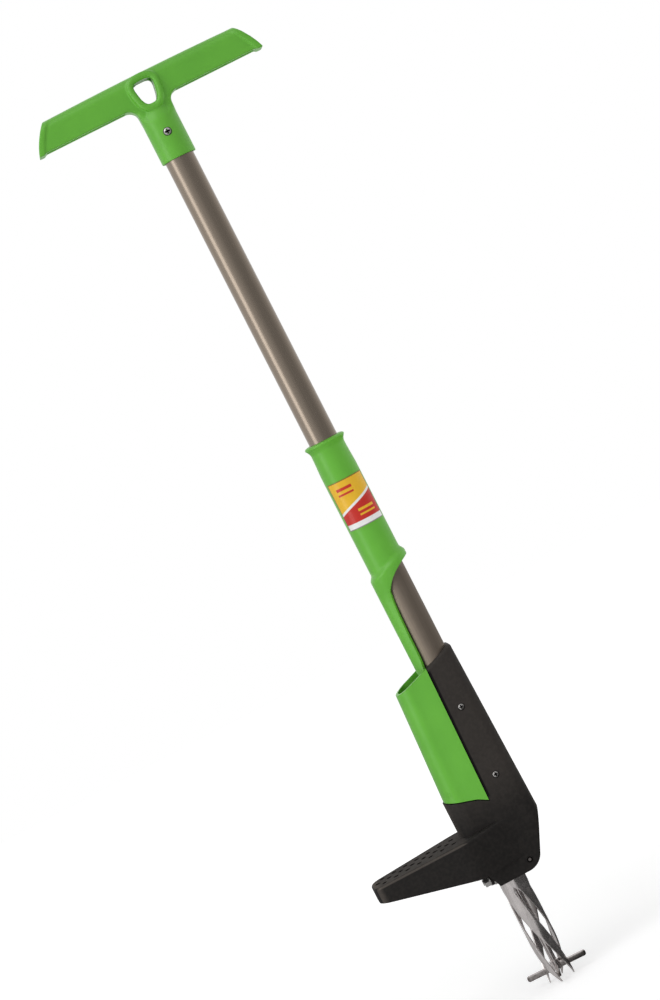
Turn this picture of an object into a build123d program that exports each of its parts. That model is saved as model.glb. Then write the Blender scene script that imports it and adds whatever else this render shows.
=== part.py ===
from build123d import *
from math import atan2, cos, degrees, radians, sin
import os

# A stand-up weed puller in millimetres. +Z runs up the tube, -X is the pedal's side, and the mirror
# plane of the foot is Y = 0. The origin is the bearing edge of the hang hole, on the tube's axis.

# T-handle
BAR_TOP_LENGTH = 204.0
BAR_BOTTOM_LENGTH = 242.0
BAR_HEIGHT = 30.0
BAR_DEPTH = 22.0
BAR_CROWN = 1.3
BAR_WALL = 3.0
BAR_TOP_ROUND = 8.0
END_LIP_DROP = 1.5
END_LIP_WIDTH = 9.0
HANG_WEB = 8.0
HOLE_TOP_WIDTH = 21.0
HOLE_BOTTOM_WIDTH = 11.0
HOLE_HEIGHT = 23.7
HOLE_CORNER = 4.0
RIM_WIDTH = 4.5
RIM_PROUD = 2.5
NECK_SINK = 0.6
SOCKET_WALL = 2.9
SOCKET_DEPTH = 50.5
SOCKET_SHOULDER = 14.0
SOCKET_FILLET = 10.0
HOLE_TO_TUBE = 8.3
HANDLE_SCREW_HEIGHT = 26.4

# Tube
TUBE_DIAMETER = 30.0
TUBE_WALL = 1.5
TUBE_LENGTH = 768.0

# Screws, nuts and washers
SCREW_HEAD_DIAMETER = 8.5
SCREW_HEAD_HEIGHT = 2.6
SCREW_RECESS_WIDTH = 3.2
SCREW_RECESS_DEPTH = 1.3
HANDLE_SCREW_DIAMETER = 4.2
HANDLE_SCREW_BITE = 3.0
SHELL_SCREW_DIAMETER = 5.0
SHELL_SCREW_HEAD = 7.0
PEDAL_SCREW_DIAMETER = 4.0
PEDAL_SCREW_BITE = 12.0
M6_DIAMETER = 6.0
M6_NUT_FLATS = 10.0
M6_NUT_HEIGHT = 5.0
M6_NUT_TURN = 30.0
M6_WASHER_DIAMETER = 12.0
M6_WASHER_HEIGHT = 1.2
M5_NUT_FLATS = 8.0
M5_NUT_HEIGHT = 4.0

# Foot with its pedal
HOUSING_WALL = 4.4
HOUSING_BACK_WALL = 3.7
HOUSING_BACK_SLOPE = 4.6
HOUSING_HEIGHT = 177.5
HOUSING_SLANT = 12.5
HOUSING_ROUND = 11.0
HOUSING_TOP_ROUND = 3.0
HOUSING_FRONT_SETBACK = 1.7
HOUSING_FRONT_SLOPE = 3.5
SHELL_SCREW_HEIGHTS = (41.1, 116.1)
LEDGE_HEIGHT = 36.0
LEDGE_FRONT_FALL = 9.5
LEDGE_BACK_FALL = 6.0
LEDGE_KINK = 10.5
NOSE_LENGTH = 27.1
NOSE_ROUND = 17.0
BEND_DROP = 6.5
HUB_DEPTH = 60.0
HUB_BACK_RUN = 24.2
HUB_ROUND = 19.0
HUB_EDGE_ROUND = 2.0
HUB_FRONT_STEP = 8.0
HUB_FRONT_LEAN = 2.0
HUB_FRONT_RISE = 5.0
TREAD_DROP = 1.7
PEDAL_LENGTH = 100.2
PEDAL_ROOT_HEIGHT = 40.8
PEDAL_TIP_HEIGHT = 15.6
PEDAL_TIP_FALL = 2.8
PEDAL_ROOT_WIDTH = 67.0
PEDAL_TIP_WIDTH = 38.0
PEDAL_CORNER = 12.0
PEDAL_EDGE_ROUND = 3.0
PEDAL_BLEND_LENGTH = 46.0
PEDAL_BLEND_LAP = 10.0
PEDAL_BULGE_ROUND = 50.0
PEDAL_BLEND_ROUND = 40.0
PEDAL_WALL = 3.5
DIMPLE_DIAMETER = 5.6
DIMPLE_DEPTH = 1.2
DIMPLE_PITCH = 13.0
DIMPLE_COUNT = 7
DIMPLE_ROOT_GAP = 9.0
DIMPLE_ROW_PITCH = 10.5
NOSE_WEB = 12.0

# Tines and the plate that carries them
TINE_DIAMETER = 28.0
TINE_WALL = 2.0
TINE_NECK = 12.0
TINE_LENGTH = 102.0
TINE_COUNT = 4
TINE_ROOT_ANGLE = -145.0
TINE_TWIST_PER_MM = 1.25
TINE_ROOT_SPAN = 62.0
TINE_MID_LEAD_SPAN = 23.0
TINE_MID_LAG_SPAN = 27.0
TINE_STAR_SPAN = 24.0
TINE_TIP_LEAD_SPAN = 10.0
TINE_TIP_WIDTH = 8.0
SLOT_STEPS = 12
PLATE_HEIGHT = 26.0
PLATE_THICKNESS = 4.0
PLATE_WIDTH = 30.0
TAB_THICKNESS = 3.0
TAB_WIDTH = 12.0
STUD_HEIGHT = 7.0
STUD_END = 1.2
BOSS_LENGTH = 3.0
BOSS_DIAMETER = 13.0
PIN_DIAMETER = 6.0
PIN_HEIGHT = 10.5
LUG_LENGTH = 12.0

# Sliding grip
FLANGE_PROUD = 2.25
FLANGE_HEIGHT = 9.0
FLANGE_RIM = 2.6
SLEEVE_WALL = 3.7
SLEEVE_LENGTH = 135.3
SKIRT_FLARE = 3.4
SKIRT_HEIGHT = 7.0
SKIRT_FALL = 15.5
STRIP_WALL = 3.0
STRIP_LENGTH = 106.75
CUT_MIDDLE_FALL = 13.6
CUT_KNEE_FALL = 32.5
CUT_LENGTH = 82.0
CUT_KNEE_SHARE = 0.75
CUT_BACK_RISE = 2.0
CUT_BACK_SLOPE = 0.6
BOX_HEIGHT = 116.5
BOX_PROUD = 0.8
BOX_SETBACK = 1.2
BOX_LEAN = 6.1
BOX_ROUND = 18.0
BOX_WALL = 3.0
BOX_RIM_RISE = 10.0
BOX_FLOOR = 4.0
BOX_FLOOR_HEIGHT = 14.0
LABEL_TOP_GAP = 44.4
LABEL_HEIGHT = 50.2
LABEL_THICKNESS = 0.25
LABEL_WRAP = 134.0

# Ejector rod and star
ROD_DIAMETER = 6.5
ROD_COLLAR_DIAMETER = 11.0
ROD_COLLAR_HEIGHT = 4.0
BUSH_WALL = 2.75
BUSH_FLANGE_DIAMETER = 16.0
BUSH_FLANGE_HEIGHT = 3.0
BUSH_TOP_SINK = 3.0
STAR_LENGTH = 64.0
STAR_THICKNESS = 3.6
STAR_HEIGHT = 6.0
STAR_CHAMFER = 1.2
STAR_HEAD_DIAMETER = 10.0
STAR_HEAD_HEIGHT = 4.0
STAR_LAG = 18.0
STAR_TIP_GAP = 13.0
WASHER_ROOM = 2.8

# Clearances
TUBE_FIT = 0.1
SLIDE_CLEARANCE = 0.3
GUIDE_GAP = 0.6
STOP_GAP = 0.4
ROD_CLEARANCE = 0.1
SCREW_CLEARANCE = 0.1
SEAT_CLEARANCE = 0.1
STAR_CLEARANCE = 0.05
LABEL_GLUE = 0.05

# Radii
tube_r = TUBE_DIAMETER / 2
socket_r = tube_r + TUBE_FIT + SOCKET_WALL
bore_r = tube_r + SLIDE_CLEARANCE
sleeve_r = bore_r + SLEEVE_WALL
skirt_r = sleeve_r + SKIRT_FLARE
strip_inner_r = skirt_r - STRIP_WALL
rod_r = ROD_DIAMETER / 2
washer_r = M6_WASHER_DIAMETER / 2
tine_r = TINE_DIAMETER / 2
bush_r = rod_r + ROD_CLEARANCE + BUSH_WALL
head_r = SCREW_HEAD_DIAMETER / 2

# Levels along the tube, from the hang hole down
bar_top = HANG_WEB
bar_bottom = bar_top - BAR_HEIGHT
tube_top = -HOLE_HEIGHT - HOLE_TO_TUBE
socket_bottom = tube_top - SOCKET_DEPTH
handle_screw_z = socket_bottom + HANDLE_SCREW_HEIGHT
tube_bottom = tube_top - TUBE_LENGTH
housing_top = tube_bottom + HOUSING_HEIGHT
ledge_front_z = tube_bottom + LEDGE_HEIGHT
ledge_kink_z = ledge_front_z - LEDGE_FRONT_FALL
ledge_back_z = ledge_kink_z - LEDGE_BACK_FALL
bend_z = tube_bottom - BEND_DROP
tread_z = tube_bottom - TREAD_DROP
hub_bottom = tube_bottom - HUB_DEPTH
plate_top = hub_bottom + PLATE_HEIGHT
plate_bottom = plate_top - PLATE_THICKNESS
stud_z = hub_bottom + STUD_HEIGHT
pin_z = hub_bottom + PIN_HEIGHT
slot_top = hub_bottom - TINE_NECK
tine_tip = slot_top - TINE_LENGTH
star_z = tine_tip + STAR_TIP_GAP
star_top = star_z + STAR_HEIGHT / 2
star_bottom = star_z - STAR_HEIGHT / 2
web_bottom = ledge_back_z - NOSE_WEB

# Places in front of and behind the tube's axis
tine_x = -(skirt_r + washer_r + WASHER_ROOM)
body_half = tube_r + TUBE_FIT + HOUSING_WALL
back_top_x = tube_r + TUBE_FIT + HOUSING_BACK_WALL
back_bend_x = back_top_x + HOUSING_BACK_SLOPE
front_top_x = -(tube_r - HOUSING_FRONT_SETBACK)
front_top_z = housing_top - HOUSING_SLANT
front_ledge_x = front_top_x - HOUSING_FRONT_SLOPE
nose_x = tine_x - NOSE_LENGTH
kink_x = front_ledge_x - LEDGE_KINK
tip_x = nose_x - PEDAL_LENGTH
blend_x = nose_x + PEDAL_BLEND_LENGTH
pedal_root_z = tread_z - PEDAL_ROOT_HEIGHT
pin_x = tine_x + tine_r + LUG_LENGTH / 2 + TAB_THICKNESS
tab_front_x = tine_x - tine_r - SLIDE_CLEARANCE - TAB_THICKNESS
boss_x = tab_front_x - BOSS_LENGTH

# Margin by which cutting solids run past what they cut
PAST = 5.0
WIDE = 2 * (PEDAL_ROOT_WIDTH + body_half)


def upright(points):
    """Face in the mirror plane through (x, z) points."""
    return make_face(Polyline([(x, 0, z) for x, z in points], close=True))


def across(face, half_width):
    """Solid of a face in the mirror plane, spread to both sides."""
    return extrude(face, half_width, dir=(0, 1, 0), both=True)


def post(x, y, bottom, top, radius):
    """Upright cylinder between two levels."""
    return Pos(x, y, bottom) * Cylinder(radius, top - bottom, align=(Align.CENTER, Align.CENTER, Align.MIN))


def cross_post(x, z, start, end, radius):
    """Cylinder along Y between two places."""
    turned = Pos(x, start, z) * Rot(-90, 0, 0)
    return turned * Cylinder(radius, end - start, align=(Align.CENTER, Align.CENTER, Align.MIN))


def long_post(z, start, end, radius):
    """Cylinder along X in the mirror plane between two places."""
    turned = Pos(start, 0, z) * Rot(0, 90, 0)
    return turned * Cylinder(radius, end - start, align=(Align.CENTER, Align.CENTER, Align.MIN))


def block(x_range, y_range, z_range):
    """Box between three pairs of limits."""
    low = [min(r) for r in (x_range, y_range, z_range)]
    size = [abs(r[1] - r[0]) for r in (x_range, y_range, z_range)]
    return Pos(*low) * Box(*size, align=(Align.MIN, Align.MIN, Align.MIN))


def between(value, low, high, low_result, high_result):
    """Straight-line interpolation, continued past both ends."""
    return low_result + (value - low) / (high - low) * (high_result - low_result)


def ledge_at(x):
    """Level of the foot's ledge in front of its kink."""
    return between(x, nose_x, kink_x, ledge_front_z, ledge_kink_z)


def tread_at(x):
    """Level of the pedal's tread."""
    return between(x, nose_x, tip_x, tread_z, tread_z - PEDAL_TIP_FALL)


def front_edge_at(z):
    """Front edge of the housing's sides."""
    return between(z, front_top_z, ledge_back_z, front_top_x, front_ledge_x)


def box_front_at(z):
    """Leaning front of the grip's box."""
    foot = nose_x + BOX_SETBACK
    return between(z, ledge_front_z, ledge_front_z + BOX_HEIGHT, foot, foot + BOX_LEAN)


def hex_prism(flats, height):
    """Hexagonal prism on Z with two flats square to X."""
    return extrude(RegularPolygon(flats / 2, 6, major_radius=False), height)


def screw(length, diameter, head_radius):
    """Pan-head screw, its head's seat at z = 0 and its shank downward."""
    head = Cylinder(head_radius, SCREW_HEAD_HEIGHT, align=(Align.CENTER, Align.CENTER, Align.MIN))
    head = fillet(head.edges().sort_by(Axis.Z)[-1], SCREW_HEAD_HEIGHT / 2)
    recess = hex_prism(SCREW_RECESS_WIDTH, SCREW_HEAD_HEIGHT)
    recess = Pos(0, 0, SCREW_HEAD_HEIGHT - SCREW_RECESS_DEPTH) * recess
    return head - recess + post(0, 0, -length, 0, diameter / 2)


def hang_hole():
    """Rounded trapezium of the hang hole, its top edge at the origin's level."""
    top = HOLE_TOP_WIDTH / 2
    low = HOLE_BOTTOM_WIDTH / 2
    face = upright([(-top, 0), (top, 0), (low, -HOLE_HEIGHT), (-low, -HOLE_HEIGHT)])
    return fillet(face.vertices(), HOLE_CORNER)


def handle_bar():
    """Grip bar with a crowned top, slanted ends and a neck; its two arms are channels open below."""
    top = BAR_TOP_LENGTH / 2
    low = BAR_BOTTOM_LENGTH / 2
    lip = low - END_LIP_WIDTH
    lip_low = bar_bottom - END_LIP_DROP
    neck_half = socket_r - NECK_SINK
    neck_bottom = bar_bottom - SOCKET_FILLET - BAR_WALL
    side = [(top, bar_top - BAR_CROWN), (low, lip_low), (lip, lip_low), (lip - END_LIP_DROP, bar_bottom)]
    side += [(neck_half, bar_bottom), (neck_half, neck_bottom)]
    path = side + [(-x, z) for x, z in reversed(side)]
    crown = ThreePointArc((-top, 0, bar_top - BAR_CROWN), (0, 0, bar_top), (top, 0, bar_top - BAR_CROWN))
    face = make_face(Polyline([(x, 0, z) for x, z in path]) + crown)
    neck_corners = [face.vertices().sort_by_distance((x, 0, bar_bottom))[0] for x in (-neck_half, neck_half)]
    bar = across(fillet(neck_corners, SOCKET_FILLET), BAR_DEPTH / 2)
    top_edges = bar.edges().filter_by(GeomType.CIRCLE).filter_by(lambda e: e.center().Z > bar_bottom)
    bar = fillet(top_edges.filter_by(lambda e: abs(e.center().X) < neck_half), BAR_TOP_ROUND)
    lean = (low - top) / (BAR_HEIGHT - BAR_CROWN + END_LIP_DROP)
    hollow_start = neck_half + SOCKET_FILLET
    hollow_top = bar_top - BAR_CROWN - BAR_WALL
    hollow_low = lip_low - PAST
    low_end, top_end = [low - 2 * BAR_WALL - lean * (z - lip_low) for z in (hollow_low, hollow_top)]
    corners = [(hollow_start, hollow_low), (low_end, hollow_low), (top_end, hollow_top)]
    corners.append((hollow_start, hollow_top))
    for sign in (-1, 1):
        hollow = upright([(sign * x, z) for x, z in corners])
        bar -= across(hollow, BAR_DEPTH / 2 - BAR_WALL)
    return bar


def t_handle():
    """Bar, hang hole with its raised rim, and the socket for the tube."""
    shoulder_z = -HOLE_HEIGHT - SOCKET_SHOULDER
    rim_half = BAR_DEPTH / 2 + RIM_PROUD
    body = handle_bar()
    body += post(0, 0, socket_bottom, shoulder_z, socket_r)
    neck_top = Pos(0, 0, bar_bottom + BAR_WALL) * Ellipse(socket_r, rim_half - NECK_SINK)
    body += loft([Pos(0, 0, shoulder_z) * Circle(socket_r), neck_top])
    body += across(offset(hang_hole(), RIM_WIDTH), rim_half)
    body -= across(hang_hole(), WIDE)
    body -= post(0, 0, socket_bottom - PAST, tube_top, tube_r + TUBE_FIT)
    body -= cross_post(0, handle_screw_z, -WIDE, 0, HANDLE_SCREW_DIAMETER / 2 + SCREW_CLEARANCE)
    body -= cross_post(0, handle_screw_z, -WIDE, handle_seat_y(), head_r + SCREW_CLEARANCE)
    return body


def handle_seat_y():
    """Spot face in the socket's front that the screw head sits on."""
    return -(socket_r - SOCKET_WALL / 2)


def handle_screw():
    """Screw through the socket and the tube's front wall."""
    length = -handle_seat_y() - (tube_r - TUBE_WALL - HANDLE_SCREW_BITE)
    seat = Pos(0, handle_seat_y(), handle_screw_z) * Rot(90, 0, 0)
    return seat * screw(length, HANDLE_SCREW_DIAMETER, head_r)


def shell_screw_levels():
    """Levels of the two screws through foot and tube."""
    return [tube_bottom + height for height in SHELL_SCREW_HEIGHTS]


def shaft_tube():
    """Round tube, drilled for the handle's and the foot's screws."""
    tube = post(0, 0, tube_bottom, tube_top, tube_r)
    tube -= post(0, 0, tube_bottom, tube_top, tube_r - TUBE_WALL)
    tube -= cross_post(0, handle_screw_z, -WIDE, 0, HANDLE_SCREW_DIAMETER / 2 + SCREW_CLEARANCE)
    for level in shell_screw_levels():
        tube -= cross_post(0, level, -WIDE, WIDE, SHELL_SCREW_DIAMETER / 2 + SCREW_CLEARANCE)
    return tube


def rounded_section(z, round_x, flat_x, half, radius):
    """Horizontal rectangle whose two corners at round_x are rounded."""
    face = Pos((round_x + flat_x) / 2, 0, z) * Rectangle(abs(round_x - flat_x), 2 * half)
    corners = [v for v in face.vertices() if abs(v.X - round_x) < abs(v.X - flat_x)]
    return fillet(corners, radius)


def foot_outline():
    """Side outline of the foot without its pedal; past its back and front it only clears the solids."""
    top_slope = HOUSING_SLANT / (back_top_x - front_top_x)
    far_back = back_bend_x + PAST
    hub_slope = (bend_z - hub_bottom) / HUB_BACK_RUN
    far_front = nose_x - 2 * PAST
    hub_front_x = tab_front_x + TAB_THICKNESS
    points = [
        (far_back, housing_top + top_slope * (far_back - back_top_x)),
        (far_back, bend_z + hub_slope * PAST),
        (back_bend_x - HUB_BACK_RUN, hub_bottom),
        (hub_front_x, hub_bottom),
        (hub_front_x - HUB_FRONT_LEAN, hub_bottom + HUB_FRONT_RISE),
        (hub_front_x - HUB_FRONT_STEP, pedal_root_z),
        (far_front, pedal_root_z),
        (far_front, ledge_at(far_front)),
        (kink_x, ledge_kink_z),
        (front_ledge_x, ledge_back_z),
        (front_top_x, front_top_z),
    ]
    face = upright(points)
    hub_corner = face.vertices().sort_by_distance((back_bend_x - HUB_BACK_RUN, 0, hub_bottom))[0]
    return fillet(hub_corner, HUB_ROUND)


def pedal_side():
    """Side outline of the pedal, level below once it is under the foot."""
    tip_top = tread_at(tip_x)
    end_x = blend_x + PEDAL_BLEND_LAP
    points = [(end_x, tread_at(end_x)), (tip_x, tip_top), (tip_x, tip_top - PEDAL_TIP_HEIGHT)]
    return upright(points + [(nose_x, pedal_root_z), (end_x, pedal_root_z)])


def pedal_hollow_side():
    """Side outline of the hollow in the pedal, one wall inside it and in front of the nose."""
    root_x = nose_x - PEDAL_WALL
    end_x = tip_x + PEDAL_WALL
    tip_top = tread_at(tip_x) - PEDAL_WALL
    tip_low = tread_at(tip_x) - PEDAL_TIP_HEIGHT + PEDAL_WALL
    root_low = between(root_x, tip_x, nose_x, tip_low, pedal_root_z + PEDAL_WALL)
    root_top = tread_at(root_x) - PEDAL_WALL
    return upright([(root_x, root_top), (end_x, tip_top), (end_x, tip_low), (root_x, root_low)])


def pedal_plan(inset):
    """Plan of the pedal, widest at the nose and blended into the foot's sides behind it."""
    root = PEDAL_ROOT_WIDTH / 2 - inset
    tip = PEDAL_TIP_WIDTH / 2 - inset
    blend = body_half - inset
    half = [(tip_x + inset, tip), (nose_x, root), (blend_x, blend), (blend_x + PEDAL_BLEND_LAP, blend)]
    points = half + [(x, -y) for x, y in reversed(half)]
    face = make_face(Polyline([(x, y, hub_bottom) for x, y in points], close=True))
    rounds = [PEDAL_CORNER - inset, PEDAL_BULGE_ROUND - inset, PEDAL_BLEND_ROUND + inset]
    for (x, y), radius in zip(half, rounds):
        corners = [face.vertices().sort_by_distance((x, side * y, hub_bottom))[0] for side in (-1, 1)]
        face = fillet(corners, radius)
    return extrude(face, housing_top - hub_bottom)


def pedal():
    """Step pedal with its dimpled tread."""
    solid = across(pedal_side(), WIDE) & pedal_plan(0)
    tread_edges = solid.faces().sort_by(Axis.Z)[-1].edges()
    solid = fillet(tread_edges.filter_by(lambda e: e.center().X < blend_x), PEDAL_EDGE_ROUND)
    for row in (-1, 0, 1):
        for index in range(DIMPLE_COUNT):
            x = nose_x - DIMPLE_ROOT_GAP - DIMPLE_PITCH * (index + (0.5 if row == 0 else 0))
            level = tread_at(x)
            low = level - DIMPLE_DEPTH
            solid -= post(x, row * DIMPLE_ROW_PITCH, low, level + PAST, DIMPLE_DIAMETER / 2)
    return solid


def rounded_foot(body):
    """Foot with soft edges round its slanted top, down the hub's slant and along the hub's bottom."""
    top_start = (front_top_z + housing_top) / 2 - PAST
    body = fillet([e for e in body.edges() if e.center().Z > top_start], HOUSING_TOP_ROUND)
    plain = (GeomType.LINE, GeomType.CIRCLE, GeomType.ELLIPSE)
    sharp = body.edges().filter_by(lambda e: e.geom_type in plain)
    hub_edges = [e for e in sharp if e.center().Z < bend_z - PAST and e.center().X > tine_x]
    hub_edges = [e for e in hub_edges if abs(e.center().Y) > HOUSING_ROUND]
    bend_edge = sharp.filter_by(Axis.Y).sort_by_distance((back_bend_x, 0, bend_z))[0]
    return fillet(hub_edges + [bend_edge], HUB_EDGE_ROUND)


def foot_solid():
    """Outer shape of the foot: rear column round the tube, nose under the grip's box, hub and pedal."""
    flat_x = kink_x
    column = loft(
        [
            rounded_section(housing_top + PAST, back_top_x, flat_x, body_half, HOUSING_ROUND),
            rounded_section(bend_z, back_bend_x, flat_x, body_half, HOUSING_ROUND),
            rounded_section(hub_bottom - PAST, back_bend_x, flat_x, body_half, HOUSING_ROUND),
        ],
        ruled=True,
    )
    nose = loft(
        [
            rounded_section(ledge_front_z + PAST, nose_x, 0, body_half, NOSE_ROUND),
            rounded_section(hub_bottom - PAST, nose_x, 0, body_half, NOSE_ROUND),
        ],
        ruled=True,
    )
    body = rounded_foot((column + nose) & across(foot_outline(), WIDE))
    return body + pedal() + long_post(stud_z, boss_x, tine_x, BOSS_DIAMETER / 2)


def foot_hollows():
    """Everything that is cut out of the foot: bore, pockets, seats and holes."""
    pocket_half = body_half - PEDAL_WALL
    cuts = post(0, 0, tube_bottom, housing_top + PAST, tube_r + TUBE_FIT)
    pocket_round = NOSE_ROUND - PEDAL_WALL
    nose_pocket = rounded_section(plate_top, nose_x + PEDAL_WALL, tine_x + tine_r, pocket_half, pocket_round)
    cuts += extrude(nose_pocket, web_bottom - plate_top)
    rear_pocket_x = (tine_x + tine_r + PEDAL_WALL, back_bend_x - HUB_BACK_RUN / 2)
    rear_pocket_z = (plate_top + PEDAL_WALL, tube_bottom - PEDAL_WALL)
    cuts += block(rear_pocket_x, (-pocket_half, pocket_half), rear_pocket_z)
    cuts += across(pedal_hollow_side(), WIDE) & pedal_plan(PEDAL_WALL)
    cuts += base_plate_seat()
    cuts += post(tine_x, 0, hub_bottom - PAST, plate_top, tine_r + SEAT_CLEARANCE)
    cuts += post(tine_x, 0, web_bottom, bush_top(), bush_r + SEAT_CLEARANCE)
    cuts += post(tine_x, 0, web_bottom, ledge_front_z + PAST, ROD_DIAMETER / 2 + BUSH_WALL / 2)
    cuts += cross_post(pin_x, pin_z, -WIDE, WIDE, PIN_DIAMETER / 2 + SEAT_CLEARANCE)
    cuts += long_post(stud_z, boss_x - PAST, tine_x, M6_DIAMETER / 2 + SCREW_CLEARANCE)
    cuts += long_post(stud_z, nose_x - PAST, boss_x, BOSS_DIAMETER / 2)
    for level in shell_screw_levels():
        cuts += cross_post(0, level, -WIDE, WIDE, SHELL_SCREW_DIAMETER / 2 + SCREW_CLEARANCE)
        cuts += cross_post(0, level, -WIDE, -shell_seat_y(), SHELL_SCREW_HEAD / 2 + SCREW_CLEARANCE)
        nut_seat = hex_prism(M5_NUT_FLATS + SCREW_CLEARANCE, WIDE)
        cuts += Pos(0, shell_seat_y(), level) * Rot(-90, 0, 0) * nut_seat
    return cuts


def shell_seat_y():
    """Depth of the seats for screw heads and nuts in the foot's sides."""
    return body_half - HOUSING_WALL / 2


def bush_top():
    """Upper end of the rod's bush, just under the ledge."""
    return ledge_at(tine_x) - BUSH_TOP_SINK


def pedal_screw_places():
    """Places of the two screws that close the pedal."""
    middle = [tread_at(x) - PEDAL_TIP_HEIGHT / 2 for x in pedal_screw_x()]
    return list(zip(pedal_screw_x(), middle))


def pedal_screw_x():
    """Distances of the pedal's screws: near the tip and half way to the nose."""
    near_tip = tip_x + PEDAL_CORNER + PEDAL_WALL
    return [near_tip, (near_tip + nose_x) / 2]


def pedal_half_width_at(x):
    """Half width of the pedal's plan in front of the nose."""
    return between(x, tip_x, nose_x, PEDAL_TIP_WIDTH / 2, PEDAL_ROOT_WIDTH / 2)


def pedal_seat_y(x):
    """Seat of a pedal screw's head, sunk into the far side."""
    return pedal_half_width_at(x) - SCREW_HEAD_HEIGHT


def foot_shells():
    """The two halves of the foot, parted in the mirror plane and screwed together at the pedal."""
    whole = foot_solid() - foot_hollows()
    for x, z in pedal_screw_places():
        boss_half = pedal_half_width_at(x) - PEDAL_WALL / 2
        boss = cross_post(x, z, -boss_half, boss_half, head_r + PEDAL_WALL / 2)
        whole += boss
        whole -= cross_post(x, z, pedal_seat_y(x), WIDE, head_r + SCREW_CLEARANCE)
        whole -= cross_post(x, z, -PEDAL_SCREW_BITE, WIDE, PEDAL_SCREW_DIAMETER / 2 + SCREW_CLEARANCE)
    left = whole & block((tip_x - PAST, WIDE), (-WIDE, 0), (hub_bottom - PAST, housing_top + WIDE))
    right = whole & block((tip_x - PAST, WIDE), (0, WIDE), (hub_bottom - PAST, housing_top + WIDE))
    return left, right


def shell_screws():
    """Two screws through foot and tube, heads on the left."""
    length = 2 * shell_seat_y() + M5_NUT_HEIGHT
    seat = [Pos(0, -shell_seat_y(), level) * Rot(90, 0, 0) for level in shell_screw_levels()]
    return [place * screw(length, SHELL_SCREW_DIAMETER, SHELL_SCREW_HEAD / 2) for place in seat]


def shell_nuts():
    """Their nuts in the hexagonal seats on the right."""
    nut = hex_prism(M5_NUT_FLATS, M5_NUT_HEIGHT)
    nut -= post(0, 0, -PAST, M5_NUT_HEIGHT + PAST, SHELL_SCREW_DIAMETER / 2 + SCREW_CLEARANCE)
    return [Pos(0, shell_seat_y(), level) * Rot(-90, 0, 0) * nut for level in shell_screw_levels()]


def pedal_screws():
    """Two screws that close the pedal from the right."""
    solids = []
    for x, z in pedal_screw_places():
        length = pedal_seat_y(x) + PEDAL_SCREW_BITE - SEAT_CLEARANCE
        seat = Pos(x, pedal_seat_y(x), z) * Rot(-90, 0, 0)
        solids.append(seat * screw(length, PEDAL_SCREW_DIAMETER, head_r))
    return solids


def rear_pin():
    """Cross pin through the hub and the plate's rear lug."""
    return cross_post(pin_x, pin_z, -body_half, body_half, PIN_DIAMETER / 2)


def plate_shape(grow):
    """Base plate with its front tab and rear lug, grown by a clearance for its seat."""
    half = PLATE_WIDTH / 2 + grow
    back = pin_x + LUG_LENGTH / 2 + grow
    shape = block((tab_front_x - grow, back), (-half, half), (plate_bottom - grow, plate_top + grow))
    tab_half = TAB_WIDTH / 2 + grow
    tab_low = stud_z - TAB_WIDTH / 2 - grow
    tab_x = (tab_front_x - grow, tab_front_x + TAB_THICKNESS)
    shape += block(tab_x, (-tab_half, tab_half), (tab_low, plate_top))
    lug_half = TAB_THICKNESS / 2 + grow
    lug_low = pin_z - LUG_LENGTH / 2 - grow
    shape += block((pin_x - LUG_LENGTH / 2 - grow, back), (-lug_half, lug_half), (lug_low, plate_top))
    return shape


def base_plate_seat():
    """Room for the base plate in the foot."""
    return plate_shape(SEAT_CLEARANCE)


def base_plate():
    """Steel plate that the tine tube is welded into."""
    plate = plate_shape(0) - post(tine_x, 0, hub_bottom, plate_top + PAST, tine_r)
    return plate - cross_post(pin_x, pin_z, -WIDE, WIDE, PIN_DIAMETER / 2 + SEAT_CLEARANCE)


def front_stud():
    """Threaded stud welded on the plate's front tab."""
    end = boss_x - M6_WASHER_HEIGHT - M6_NUT_HEIGHT - STUD_END
    return long_post(stud_z, end, tab_front_x, M6_DIAMETER / 2)


def front_washer():
    """Washer on the hub's front boss."""
    start = boss_x - M6_WASHER_HEIGHT
    bore = long_post(stud_z, start - PAST, boss_x + PAST, M6_DIAMETER / 2 + SCREW_CLEARANCE)
    return long_post(stud_z, start, boss_x, washer_r) - bore


def front_nut():
    """Nut on the front stud, two flats level."""
    start = boss_x - M6_WASHER_HEIGHT - M6_NUT_HEIGHT
    nut = Rot(0, 90, 0) * Rot(0, 0, M6_NUT_TURN) * hex_prism(M6_NUT_FLATS, M6_NUT_HEIGHT)
    nut = Pos(start, 0, stud_z) * nut
    return nut - long_post(stud_z, start - PAST, boss_x, M6_DIAMETER / 2 + SCREW_CLEARANCE)


def tine_angle_at(z):
    """Middle of the first tine, in degrees about the tine axis; it advances downward."""
    return TINE_ROOT_ANGLE + TINE_TWIST_PER_MM * (slot_top - z)


def tine_spans():
    """Levels with the tine's angular reach after and before its middle line, from root to tip."""
    half_root = TINE_ROOT_SPAN / 2
    middle = (slot_top + star_z) / 2
    upper = (slot_top + middle) / 2
    tip_lag = TINE_TIP_WIDTH - TINE_TIP_LEAD_SPAN
    return [
        (slot_top, half_root, half_root),
        (upper, (half_root + TINE_MID_LEAD_SPAN) / 2, (half_root + TINE_MID_LAG_SPAN) / 2),
        (middle, TINE_MID_LEAD_SPAN, TINE_MID_LAG_SPAN),
        (star_z, TINE_STAR_SPAN / 2, TINE_STAR_SPAN / 2),
        (tine_tip, TINE_TIP_LEAD_SPAN, tip_lag),
    ]


def span_at(z):
    """Tine's reach after and before its middle line at a level, between the listed ones."""
    spans = tine_spans()
    for upper, lower in zip(spans, spans[1:]):
        if z >= lower[0] or lower is spans[-1]:
            lead = between(z, upper[0], lower[0], upper[1], lower[1])
            lag = between(z, upper[0], lower[0], upper[2], lower[2])
            return lead, lag


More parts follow.
